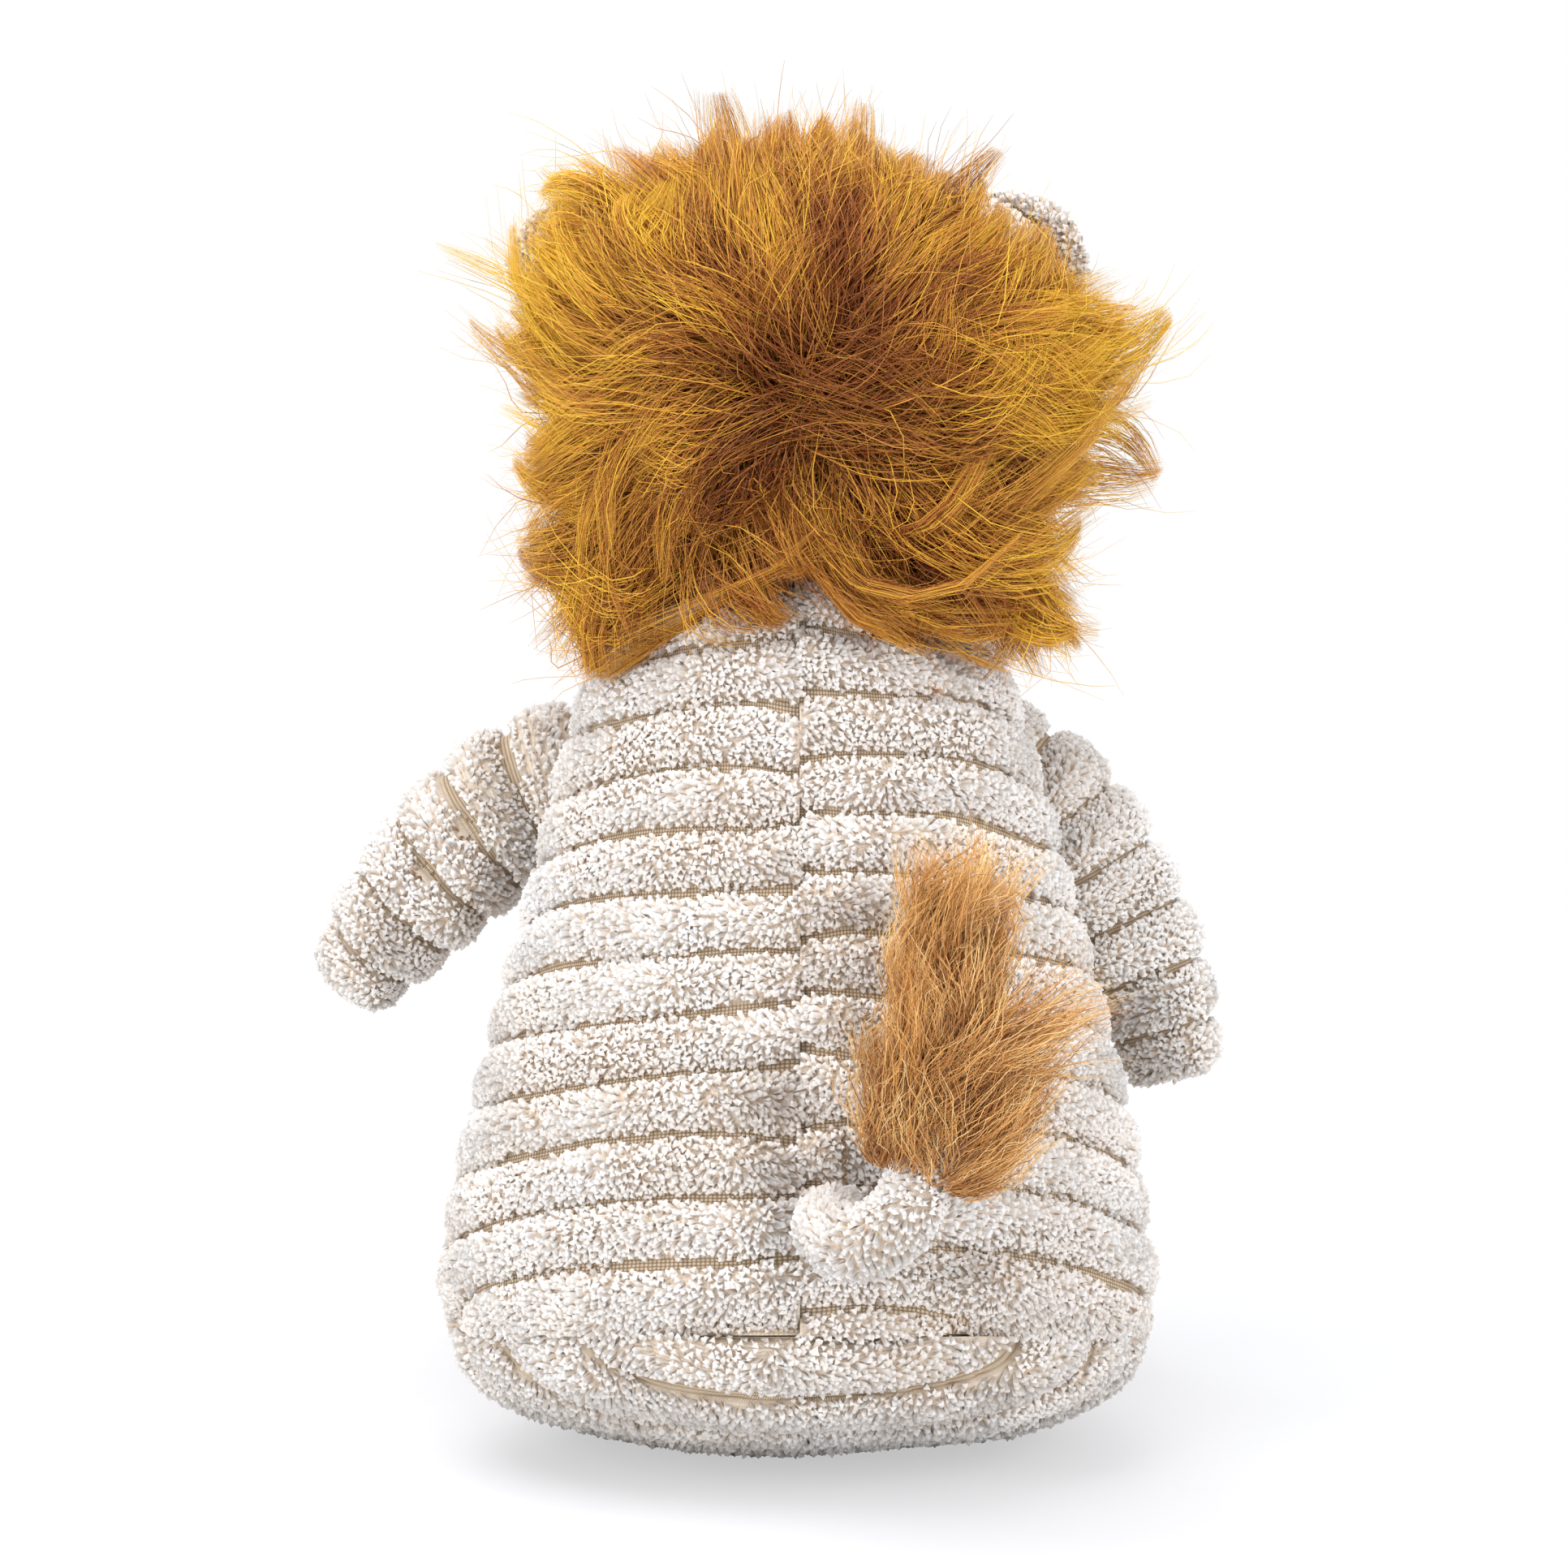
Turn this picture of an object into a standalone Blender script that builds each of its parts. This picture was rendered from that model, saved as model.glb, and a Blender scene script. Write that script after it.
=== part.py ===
"""A stuffed toy lion of wide-wale plush cord, sitting on a weighted, domed base and leaning forward.

Each cloth panel, filling, eye and washer is its own object. The toy's own frame is an empty at the middle of the base
seam, tilted by the lean. Moving pieces hang on empties that stand on their joints' axes.
"""

import math

import bmesh
import bpy
from mathutils import Vector

# Cloth, clearances and cuts
SEAM_GAP = 0.0003
CUT_OVERRUN = 0.004
FLOOR_CUT = 0.0005
BASE_FLAT = 0.0012
SKIN = 0.0034
WALE_PITCH = 0.0149
WALE_RELIEF = 0.0014
WALE_ROW_SHARES = (0.0, 0.2, 0.8)

# Body: a pear above the base seam, whose wales droop towards the sides
LEAN = math.radians(12)
BODY_HEIGHT = 0.190
BODY_HALF_WIDTH = 0.0865
BODY_HALF_DEPTH = 0.070
BODY_PROFILE_SHARES = (
    (0.00, 0.975),
    (0.05, 1.000),
    (0.15, 0.975),
    (0.26, 0.935),
    (0.42, 0.850),
    (0.58, 0.755),
    (0.70, 0.690),
    (0.82, 0.620),
    (0.92, 0.550),
    (1.00, 0.460),
)
BODY_INNER_ROW_SHARES = (0.06, 0.18, 0.33, 0.48, 0.63, 0.77, 0.87, 0.94)
DROOP_AT_BASE = 0.013
DROOP_AT_NECK = 0.004
LEFT_WALE_OFFSET = 0.0037
RIGHT_WALE_OFFSET = 0.0073
CLEFT_DEPTH = 0.0025
CLEFT_WIDTH = 0.008
SIDE_SEAM_FORWARD = 0.006

# Base: a dome below the seam
BASE_DEPTH = 0.028
BASE_FULLNESS_SHARE = 2.3
BASE_COLUMNS = 14

# Neck plug and head
NECK_HEIGHT = 0.194
NECK_RADIUS = 0.026
HEAD_RISE = 0.045
HEAD_HALF_WIDTH = 0.054
HEAD_HALF_DEPTH = 0.046
HEAD_HALF_HEIGHT = 0.048
FACE_EDGE = 0.002

# Mane
MANE_HALF_WIDTH = 0.079
MANE_HALF_DEPTH = 0.062
MANE_RISE = 0.073
MANE_DROP = 0.082
MANE_HEM = 0.063
MANE_BACK_SHIFT = 0.004
MANE_LOCK = 0.0035
MANE_FULLNESS_SHARE = 2.3
NAPE_HALF_WIDTH = 0.058
NAPE_RISE = 0.043

# Muzzle, nose and eyes
MUZZLE_HALF_WIDTH = 0.025
MUZZLE_HALF_HEIGHT = 0.017
MUZZLE_LENGTH = 0.020
MUZZLE_DROP = 0.012
NOSE_RADIUS = 0.0085
NOSE_THICKNESS = 0.005
NOSE_LIFT = 0.007
EYE_RADIUS = 0.0055
EYE_DOME = 0.0038
EYE_SPREAD = 0.019
EYE_LIFT = 0.008
EYE_SINK = 0.0012
SHANK_RADIUS = 0.0018
SHANK_LENGTH = 0.013
WASHER_RADIUS = 0.0070
WASHER_THICKNESS = 0.0016

# Ears
EAR_WIDTH = 0.041
EAR_HEIGHT = 0.033
EAR_THICKNESS = 0.0080
EAR_LINING = 0.0026
EAR_HEM = 0.0045
EAR_FORWARD = 0.011
EAR_STANDOFF = 0.0005
EAR_ANGLE = math.radians(28)

# Arms
SHOULDER_HEIGHT = 0.141
SHOULDER_ANGLE = math.radians(45)
SHOULDER_STANDOFF = 0.0115
ARM_RADIUS = 0.0195
ARM_SKIN = 0.0056
ARM_THICKNESS_SHARE = 0.84
ARM_PROFILE_SHARES = ((0.0, 1.0), (0.25, 1.02), (0.5, 0.98), (0.75, 0.93), (1.0, 0.90))
ARM_LEFT_REACH = 0.069
ARM_LEFT_DROP = 0.053
ARM_LEFT_FORWARD = 0.026
ARM_LEFT_BEND_SHARES = ((0.45, 0.1, 0.0), (0.80, 0.45, 0.65))
ARM_RIGHT_REACH = 0.049
ARM_RIGHT_DROP = 0.077
ARM_RIGHT_FORWARD = 0.012
ARM_RIGHT_BEND_SHARES = ((0.46, 0.1, 0.10), (0.82, 0.6, 0.64))

# Legs
HIP_ANGLE = math.radians(33)
HIP_STANDOFF = 0.011
LEG_RADIUS = 0.0195
LEG_LENGTH = 0.066
LEG_THICKNESS_SHARE = 1.0
LEG_PROFILE_SHARES = ((0.0, 0.96), (0.35, 1.03), (0.7, 1.12), (1.0, 1.10))
LEG_SPLAY_LEFT = math.radians(17)
LEG_SPLAY_RIGHT = math.radians(8)
SOLE_CROWN = 0.006

# Tail
TAIL_HEIGHT = 0.026
TAIL_SIDE = 0.008
TAIL_STANDOFF = 0.004
TAIL_RADIUS = 0.0085
TAIL_OUT = 0.026
TAIL_DIP = 0.010
TAIL_ACROSS = 0.028
TAIL_CURL = 0.072
TAIL_BACK = 0.010
TUFT_RADIUS = 0.0200
TUFT_START_SHARE = 0.38
STALK_END_SHARE = 0.48
TUFT_PROFILE_SHARES = ((0.0, 0.55), (0.12, 0.8), (0.35, 1.0), (0.65, 0.95), (0.85, 0.72), (1.0, 0.35))

CREAM = (0.77, 0.71, 0.66)
LINEN = (0.58, 0.46, 0.33)
FIBRE = (0.86, 0.86, 0.84)
GOLD = (0.52, 0.27, 0.06)
TAN = (0.50, 0.33, 0.19)
BROWN = (0.12, 0.055, 0.03)


def clear_scene():
    for obj in list(bpy.data.objects):
        bpy.data.objects.remove(obj, do_unlink=True)


def material(name, colour, roughness):
    mat = bpy.data.materials.get(name) or bpy.data.materials.new(name)
    mat.use_nodes = True
    shader = mat.node_tree.nodes["Principled BSDF"]
    shader.inputs["Base Color"].default_value = (*colour, 1)
    shader.inputs["Roughness"].default_value = roughness
    shader.inputs["Metallic"].default_value = 0
    return mat


def empty(name, parent, location, rotation=(0, 0, 0)):
    obj = bpy.data.objects.new(name, None)
    bpy.context.collection.objects.link(obj)
    obj.parent = parent
    obj.location = location
    obj.rotation_euler = rotation
    return obj


def ring_solid(name, rings, parent, mat=None):
    """A closed solid through equal rings of points, with a flat cap on each end."""
    mesh_data = bmesh.new()
    loops = [[mesh_data.verts.new(point) for point in ring] for ring in rings]
    for low, high in zip(loops, loops[1:]):
        for i, vert in enumerate(low):
            j = (i + 1) % len(low)
            mesh_data.faces.new((vert, low[j], high[j], high[i]))
    mesh_data.faces.new(loops[0])
    mesh_data.faces.new(loops[-1])
    bmesh.ops.recalc_face_normals(mesh_data, faces=mesh_data.faces)
    bmesh.ops.triangulate(mesh_data, faces=mesh_data.faces)
    mesh = bpy.data.meshes.new(name)
    mesh_data.to_mesh(mesh)
    mesh_data.free()
    mesh.shade_smooth()
    mesh.set_sharp_from_angle(angle=math.radians(50))
    obj = bpy.data.objects.new(name, mesh)
    bpy.context.collection.objects.link(obj)
    obj.parent = parent
    if mat:
        mesh.materials.append(mat)
    else:
        obj.hide_render = True
        obj.display_type = "WIRE"
    return obj


def box_cutter(name, low, high, parent):
    bottom = [(low[0], low[1]), (high[0], low[1]), (high[0], high[1]), (low[0], high[1])]
    rings = [[(x, y, z) for x, y in bottom] for z in (low[2], high[2])]
    return ring_solid(name, rings, parent)


def cut(obj, tool, operation="DIFFERENCE"):
    step = obj.modifiers.new(tool.name, "BOOLEAN")
    step.operation = operation
    step.object = tool
    step.solver = "EXACT"


def share_at(table, place):
    """A smooth value from a table of (place, share) pairs, held level past its ends."""
    if place <= table[0][0]:
        return table[0][1]
    if place >= table[-1][0]:
        return table[-1][1]
    i = next(k for k in range(len(table) - 1) if place <= table[k + 1][0])
    (x0, y0), (x1, y1) = table[i], table[i + 1]
    before = table[max(i - 1, 0)]
    after = table[min(i + 2, len(table) - 1)]
    slope0 = (y1 - before[1]) / (x1 - before[0])
    slope1 = (after[1] - y0) / (after[0] - x0)
    span = x1 - x0
    t = (place - x0) / span
    return (
        (2 * t**3 - 3 * t**2 + 1) * y0
        + (t**3 - 2 * t**2 + t) * span * slope0
        + (3 * t**2 - 2 * t**3) * y1
        + (t**3 - t**2) * span * slope1
    )


def turn_angles(step):
    """Angles round the body from the middle of the back, closer together at the pulled-in seam."""
    half = [0, 4, 10] + list(range(22, 180, step))
    return [math.radians(a) for a in half + [180] + [360 - a for a in reversed(half[1:])]]


def pear_share(z):
    return share_at(BODY_PROFILE_SHARES, z / BODY_HEIGHT)


def pear_point(angle, z, inset):
    """A point of the body's surface, inset by a length; angle 0 is the middle of the back."""
    across = (BODY_HALF_WIDTH * pear_share(z) - inset) * math.sin(angle)
    deep = (BODY_HALF_DEPTH * pear_share(z) - inset) * math.cos(angle)
    if deep > 0:
        deep -= CLEFT_DEPTH * math.exp(-((across / CLEFT_WIDTH) ** 2))
    return Vector((across, deep, z))


def wale_stations(start, stop, pitch, shift):
    """Places along a panel with the depth of the groove at each, three rows to a wale."""
    first = math.floor((start - shift) / pitch)
    last = math.ceil((stop - shift) / pitch)
    for k in range(first, last):
        for share in WALE_ROW_SHARES:
            place = (k + share) * pitch + shift
            if start <= place <= stop:
                yield place, WALE_RELIEF if share == 0 else 0


def body_form(name, shift, parent, mat):
    """The whole ribbed pear; each panel keeps its own stretch of it."""
    rings = []
    for place, depth in wale_stations(-WALE_PITCH, BODY_HEIGHT + WALE_PITCH, WALE_PITCH, shift):
        height = min(max(place / BODY_HEIGHT, 0), 1)
        droop = DROOP_AT_BASE + (DROOP_AT_NECK - DROOP_AT_BASE) * height
        ring = []
        for angle in turn_angles(13):
            z = place - droop * (1 - abs(math.cos(angle)))
            ring.append(pear_point(angle, z, depth))
        rings.append(ring)
    return ring_solid(name, rings, parent, mat)


def body_inner(name, inset, low, high, parent, mat=None):
    rings = []
    heights = [share * BODY_HEIGHT for share in BODY_INNER_ROW_SHARES]
    for z in [low] + [h for h in heights if low + SEAM_GAP < h < high - SEAM_GAP] + [high]:
        rings.append([pear_point(angle, z, inset) for angle in turn_angles(20)])
    return ring_solid(name, rings, parent, mat)


def dome_share(across, deep):
    """How deep the base's dome is at a place, both counted in shares of its half width and half depth."""
    out = min(math.hypot(across, deep), 1)
    return (1 - out**BASE_FULLNESS_SHARE) ** (1 / BASE_FULLNESS_SHARE)


def lowest_of_dome():
    """The base's lowest point once it leans, as a place in the toy's own frame."""
    half_depth = BODY_HALF_DEPTH * BODY_PROFILE_SHARES[0][1]
    steps = 400
    best = None
    for i in range(-steps, steps + 1):
        y = half_depth * i / steps
        z = -BASE_DEPTH * dome_share(0, i / steps)
        height = y * math.sin(LEAN) + z * math.cos(LEAN)
        if best is None or height < best[0]:
            best = (height, y, z)
    return best


def dome_form(name, inset, rise, ribbed, parent, mat=None):
    """The base as arcs across it, one behind another along its wales, closed by a flat top."""
    half_width = BODY_HALF_WIDTH * BODY_PROFILE_SHARES[0][1] - inset
    half_depth = BODY_HALF_DEPTH * BODY_PROFILE_SHARES[0][1] - inset
    depth = BASE_DEPTH - inset
    low_y = lowest_of_dome()[1]
    edge = half_depth * 0.99
    if ribbed:
        rows = list(wale_stations(-edge * 0.96, edge * 0.96, WALE_PITCH, low_y + WALE_PITCH / 2))
    else:
        rows = [(edge * math.sin(math.radians(a)), 0) for a in range(-72, 73, 12)]
    rings = []
    for y, groove in [(-edge, 0)] + rows + [(edge, 0)]:
        chord = half_width * math.sqrt(1 - (y / half_depth) ** 2)
        ring = [Vector((-chord, y, rise))] if rise > 0 else []
        for i in range(BASE_COLUMNS + 1):
            x = chord * math.sin(math.radians(-90 + 180 * i / BASE_COLUMNS))
            z = -depth * dome_share(x / half_width, y / half_depth)
            point = Vector((x, y, z))
            if point.length > 0:
                point *= 1 - groove / point.length
            ring.append(Vector((point.x, point.y, min(point.z, 0) + min(rise, 0))))
        if rise > 0:
            ring.append(Vector((chord, y, rise)))
        rings.append(ring)
    return ring_solid(name, rings, parent, mat)


def bezier(points, t):
    a, b, c, d = points
    return a * (1 - t) ** 3 + b * (3 * t * (1 - t) ** 2) + c * (3 * t * t * (1 - t)) + d * t**3


class Route:
    """A limb's centre line, measured along its length from the middle of its ball root."""

    def __init__(self, points):
        steps = 60
        self.points = [bezier(points, i / steps) for i in range(steps + 1)]
        self.reach = [0]
        for a, b in zip(self.points, self.points[1:]):
            self.reach.append(self.reach[-1] + (b - a).length)
        self.length = self.reach[-1]

    def at(self, place):
        """(point, direction) at a distance along the line, run on straight past its ends."""
        if place <= 0:
            way = (self.points[1] - self.points[0]).normalized()
            return self.points[0] + way * place, way
        if place >= self.length:
            way = (self.points[-1] - self.points[-2]).normalized()
            return self.points[-1] + way * (place - self.length), way
        i = next(k for k in range(len(self.reach) - 1) if place <= self.reach[k + 1])
        part = (place - self.reach[i]) / (self.reach[i + 1] - self.reach[i])
        way = (self.points[i + 1] - self.points[i]).normalized()
        return self.points[i].lerp(self.points[i + 1], part), way


def limb_ring(route, place, radius, flatness, hinge, count):
    centre, way = route.at(place)
    side = (hinge - way * hinge.dot(way)).normalized()
    up = way.cross(side)
    ring = []
    for i in range(count):
        turn = math.tau * i / count
        ring.append(centre + up * (radius * math.cos(turn)) + side * (radius * flatness * math.sin(turn)))
    return ring


def limb_radius(place, length, radius, shares, rounded):
    """The limb's radius: a ball at its root, a swell along it and, where wanted, a rounded end."""
    if place <= 0:
        return math.sqrt(max((radius * shares[0][1]) ** 2 - place**2, 0))
    tip = (1 - (place / length) ** 4) ** 0.25 if rounded and place < length else (0 if rounded else 1)
    return radius * share_at(shares, place / length) * tip


def limb_form(name, route, length, radius, shares, rounded, flatness, hinge, parent, mat=None):
    """The limb's outside, with its ball root, its wales and its end."""
    root_shares = (-0.97, -0.8, -0.6, -0.3)
    stations = [(radius * share, 0) for share in root_shares]
    stations += list(wale_stations(0, length * (0.95 if rounded else 0.97), WALE_PITCH, WALE_PITCH * 0.45))
    stations += [(length * 0.985, 0)] if rounded else [(length, 0)]
    rings = []
    for place, depth in stations:
        size = limb_radius(place, length, radius, shares, rounded) - depth
        rings.append(limb_ring(route, place, size, flatness, hinge, 14))
    return ring_solid(name, rings, parent, mat)


def limb_inner(name, route, length, radius, shares, rounded, flatness, hinge, inset, start, stop, parent, mat=None):
    """The limb's hollow or, with a clearance more, its filling."""
    neck = radius * 0.45 - (inset - SKIN)
    places = [start, -radius * 0.72, -radius * 0.4, 0]
    places += [length * share for share in (0.25, 0.5, 0.7, 0.85)] + [stop]
    rings = []
    for place in places:
        if place <= 0:
            size = max(neck, math.sqrt(max((radius * shares[0][1] - inset) ** 2 - place**2, 0)))
            if place <= -radius * 0.72:
                size = neck
        else:
            size = limb_radius(place, length - (inset if rounded else 0), radius, shares, rounded) - inset
        rings.append(limb_ring(route, place, max(size, neck * 0.4), flatness, hinge, 14))
    return ring_solid(name, rings, parent, mat)


def ball_cutter(name, radius, flatness, hinge, parent, rows=10, count=20):
    """A ball, flattened along the hinge like the limb's root, whose flats clear the round piece that turns in it."""
    across = hinge.orthogonal().normalized()
    up = hinge.cross(across)
    clear = radius / (math.cos(math.pi / count) * math.cos(math.pi / rows / 2))
    rings = []
    for angle in [math.radians(5)] + [math.pi * i / rows for i in range(1, rows)] + [math.radians(175)]:
        along = clear * flatness * math.cos(angle)
        size = clear * math.sin(angle)
        ring = []
        for k in range(count):
            turn = math.tau * (k + 0.5) / count
            ring.append(hinge * along + across * (size * math.cos(turn)) + up * (size * math.sin(turn)))
        rings.append(ring)
    return ring_solid(name, rings, parent)


def make_body(toy):
    """Base panel, pellet bag, body filling and the three cord panels of the pear."""
    cord = material("cord", CREAM, 0.9)
    far = BODY_HALF_WIDTH * 2
    half_gap = SEAM_GAP / 2
    base = dome_form("base_panel", 0, -half_gap, True, toy, cord)
    cut(base, dome_form("base_hollow", SKIN, CUT_OVERRUN, False, toy))
    bag = dome_form("pellet_bag", SKIN + SEAM_GAP, -half_gap, False, toy, material("pellets", LINEN, 0.8))
    core = body_inner(
        "body_stuffing", SKIN + SEAM_GAP, half_gap, BODY_HEIGHT, toy, material("stuffing", FIBRE, 0.95)
    )
    hollow = body_inner("body_hollow", SKIN, -CUT_OVERRUN, BODY_HEIGHT + CUT_OVERRUN, toy)
    side = -SIDE_SEAM_FORWARD
    panels = []
    for name, shift, low, high in (
        ("back_panel_left", LEFT_WALE_OFFSET, (half_gap, side + half_gap), (far, far)),
        ("back_panel_right", RIGHT_WALE_OFFSET, (-far, side + half_gap), (-half_gap, far)),
        ("belly_panel", WALE_PITCH / 2, (-far, -far), (far, side - half_gap)),
    ):
        panel = body_form(name, shift, toy, cord)
        keep = box_cutter(name + "_pattern", (*low, half_gap), (*high, BODY_HEIGHT), toy)
        cut(panel, keep, "INTERSECT")
        cut(panel, hollow)
        panels.append(panel)
    return base, bag, core, panels


def ellipsoid(name, half, start, stop, rows, count, parent, mat=None):
    """A turned oval, its rows spaced by angle between two angles from the bottom."""
    rings = []
    for i in range(rows + 1):
        angle = start + (stop - start) * i / rows
        z = -half[2] * math.cos(angle)
        size = math.sin(angle)
        turns = [math.tau * (k + 0.5) / count for k in range(count)]
        rings.append([(half[0] * size * math.cos(t), half[1] * size * math.sin(t), z) for t in turns])
    return ring_solid(name, rings, parent, mat)


def head_half(inset):
    return (HEAD_HALF_WIDTH - inset, HEAD_HALF_DEPTH - inset, HEAD_HALF_HEIGHT - inset)


def head_form(name, inset, parent, mat=None):
    return ellipsoid(name, head_half(inset), math.radians(7), math.radians(173), 11, 20, parent, mat)


def make_head(nod, head):
    """Head filling, face panel and the panel at the back of the head."""
    cord = material("cord", CREAM, 0.9)
    far = MANE_HALF_WIDTH * 2
    half_gap = SEAM_GAP / 2
    core = head_form("head_stuffing", SKIN + SEAM_GAP, head, material("stuffing", FIBRE, 0.95))
    hollow = head_form("head_hollow", SKIN, head)
    plug = ball_cutter("head_neck_seat", NECK_RADIUS + SEAM_GAP, 1, Vector((0, 0, 1)), nod)
    face = head_form("face_panel", 0, head, cord)
    back = head_form("head_back_panel", 0, head, cord)
    cut(face, box_cutter("face_pattern", (-far, -far, -far), (far, FACE_EDGE - half_gap, far), head), "INTERSECT")
    cut(back, box_cutter("back_pattern", (-far, FACE_EDGE + half_gap, -far), (far, far, far), head), "INTERSECT")
    for panel in (face, back):
        cut(panel, hollow)
    for piece in (face, back, core):
        cut(piece, plug)
    return core, face, back


def make_mane(head):
    """Two halves of thick fur over the back of the head, open at the nape and in front."""
    fur = material("mane", GOLD, 0.85)
    far = MANE_HALF_WIDTH * 2
    half_gap = SEAM_GAP / 2
    over = head_form("mane_hollow", -SEAM_GAP, head)
    nape_rings = []
    for y in (FACE_EDGE - CUT_OVERRUN, far):
        turns = [math.tau * k / 28 for k in range(28)]
        ring = [(NAPE_HALF_WIDTH * math.cos(t), y, -MANE_HEM + NAPE_RISE * math.sin(t)) for t in turns]
        nape_rings.append(ring)
    nape = ring_solid("nape_arch", nape_rings, head)
    for name, low_x, high_x in (("mane_left", half_gap, far), ("mane_right", -far, -half_gap)):
        rings = []
        rows = 14
        for i in range(rows + 1):
            z = -MANE_HEM + (MANE_HEM + MANE_RISE * 0.985) * i / rows
            reach = MANE_RISE if z > 0 else MANE_DROP
            size = (1 - abs(z / reach) ** MANE_FULLNESS_SHARE) ** (1 / MANE_FULLNESS_SHARE)
            ring = []
            for k in range(32):
                turn = math.tau * (k + 0.5) / 32
                lock = MANE_LOCK * math.cos(9 * turn + i * 1.3) * size
                x = (MANE_HALF_WIDTH * size + lock) * math.cos(turn)
                y = (MANE_HALF_DEPTH * size + lock) * math.sin(turn) + MANE_BACK_SHIFT
                ring.append((x, y, z))
            rings.append(ring)
        half = ring_solid(name, rings, head, fur)
        keep = box_cutter(
            name + "_pattern", (low_x, FACE_EDGE + SEAM_GAP, -far), (high_x, far, far), head
        )
        cut(half, keep, "INTERSECT")
        cut(half, over)
        cut(half, nape)


def face_depth(x, z):
    """How far the head's surface lies in front of its middle, at a place on the face."""
    return HEAD_HALF_DEPTH * math.sqrt(1 - (x / HEAD_HALF_WIDTH) ** 2 - (z / HEAD_HALF_HEIGHT) ** 2)


def make_muzzle(head):
    """A stuffed muzzle with a cleft below the nose, and the nose pad on it."""
    cord = material("cord", CREAM, 0.9)
    front = face_depth(0, MUZZLE_DROP)
    rings = []
    for share in (0.0, 0.25, 0.45, 0.62, 0.78, 0.9, 0.97):
        size = (1 - share**2.6) ** (1 / 2.6)
        y = -front + SKIN * 2 - (MUZZLE_LENGTH + SKIN * 2) * share
        ring = []
        for k in range(20):
            turn = math.tau * k / 20
            cleft = 1 - 0.16 * math.exp(-(((turn - 1.5 * math.pi) / 0.35) ** 2))
            x = MUZZLE_HALF_WIDTH * size * math.cos(turn) * cleft
            z = MUZZLE_HALF_HEIGHT * size * math.sin(turn) * cleft - MUZZLE_DROP
            ring.append((x, y, z))
        rings.append(ring)
    muzzle = ring_solid("muzzle", rings, head, cord)
    cut(muzzle, head_form("muzzle_seat", -SEAM_GAP, head))
    nose_front = -front - MUZZLE_LENGTH - NOSE_THICKNESS * 0.4
    rings = []
    for share in (0.0, 0.45, 0.75, 0.92):
        size = NOSE_RADIUS * (1 - share**2.5) ** 0.4
        ring = []
        for k in range(18):
            turn = math.tau * k / 18
            wide = size * (1 - 0.16 * math.sin(3 * turn))
            place = (wide * math.cos(turn) * 1.15, 0, wide * math.sin(turn) * 0.85)
            y = nose_front + NOSE_THICKNESS * (1 - share) * 1.6
            ring.append((place[0], y, place[2] - MUZZLE_DROP + NOSE_LIFT))
        rings.append(ring)
    nose = ring_solid("nose", rings, head, material("nose", BROWN, 0.6))
    seat = ring_solid("nose_seat", grown(rings, SEAM_GAP), head)
    cut(muzzle, seat)
    return muzzle, nose


def grown(rings, gap):
    """The same rings a gap larger, for the seat that a piece fits."""
    out = []
    for i, ring in enumerate(rings):
        middle = sum((Vector(p) for p in ring), Vector()) / len(ring)
        first = Vector(ring[0])
        scale = 1 + gap / (first - middle).length
        shift = Vector((0, gap if i == 0 else (-gap if i == len(rings) - 1 else 0), 0))
        out.append([middle + (Vector(p) - middle) * scale + shift for p in ring])
    return out


def turned(name, profile, parent, mat=None, count=14):
    """A solid turned about the fore-and-aft line, from (radius, place) pairs, front to back."""
    rings = []
    for radius, y in profile:
        turns = [math.tau * k / count for k in range(count)]
        rings.append([(radius * math.cos(t), y, radius * math.sin(t)) for t in turns])
    return ring_solid(name, rings, parent, mat)


def make_eye(side, sign, head, face, core):
    """A domed safety eye whose shank passes the face panel, and the washer that locks it inside."""
    x = sign * EYE_SPREAD
    surface = -face_depth(x, EYE_LIFT)
    seat = empty("eye_%s_place" % side, head, (x, surface + EYE_SINK, EYE_LIFT))
    dome = [(EYE_RADIUS * math.sin(math.radians(a)), -EYE_DOME * math.cos(math.radians(a))) for a in (12, 35, 60, 80)]
    profile = dome + [(EYE_RADIUS, 0), (SHANK_RADIUS, 0), (SHANK_RADIUS, SHANK_LENGTH)]
    turned("eye_" + side, profile, seat, material("eye", (0.01, 0.008, 0.006), 0.08))
    pocket = EYE_RADIUS + SEAM_GAP
    hole = SHANK_RADIUS + SEAM_GAP
    profile = [(pocket, -EYE_DOME - CUT_OVERRUN), (pocket, SEAM_GAP), (hole, SEAM_GAP), (hole, SHANK_LENGTH + SEAM_GAP)]
    socket = turned("eye_%s_socket" % side, profile, seat)
    washer_at = SKIN * 2
    ring = WASHER_RADIUS + SEAM_GAP
    recess = turned(
        "washer_%s_recess" % side,
        [(ring, washer_at - SEAM_GAP), (ring, washer_at + WASHER_THICKNESS + SEAM_GAP)],
        seat,
    )
    washer = turned(
        "eye_washer_" + side,
        [(WASHER_RADIUS, washer_at), (WASHER_RADIUS, washer_at + WASHER_THICKNESS)],
        seat,
        material("washer", (0.8, 0.8, 0.78), 0.5),
    )
    cut(washer, socket)
    for piece in (face, core):
        cut(piece, socket)
        cut(piece, recess)


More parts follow.
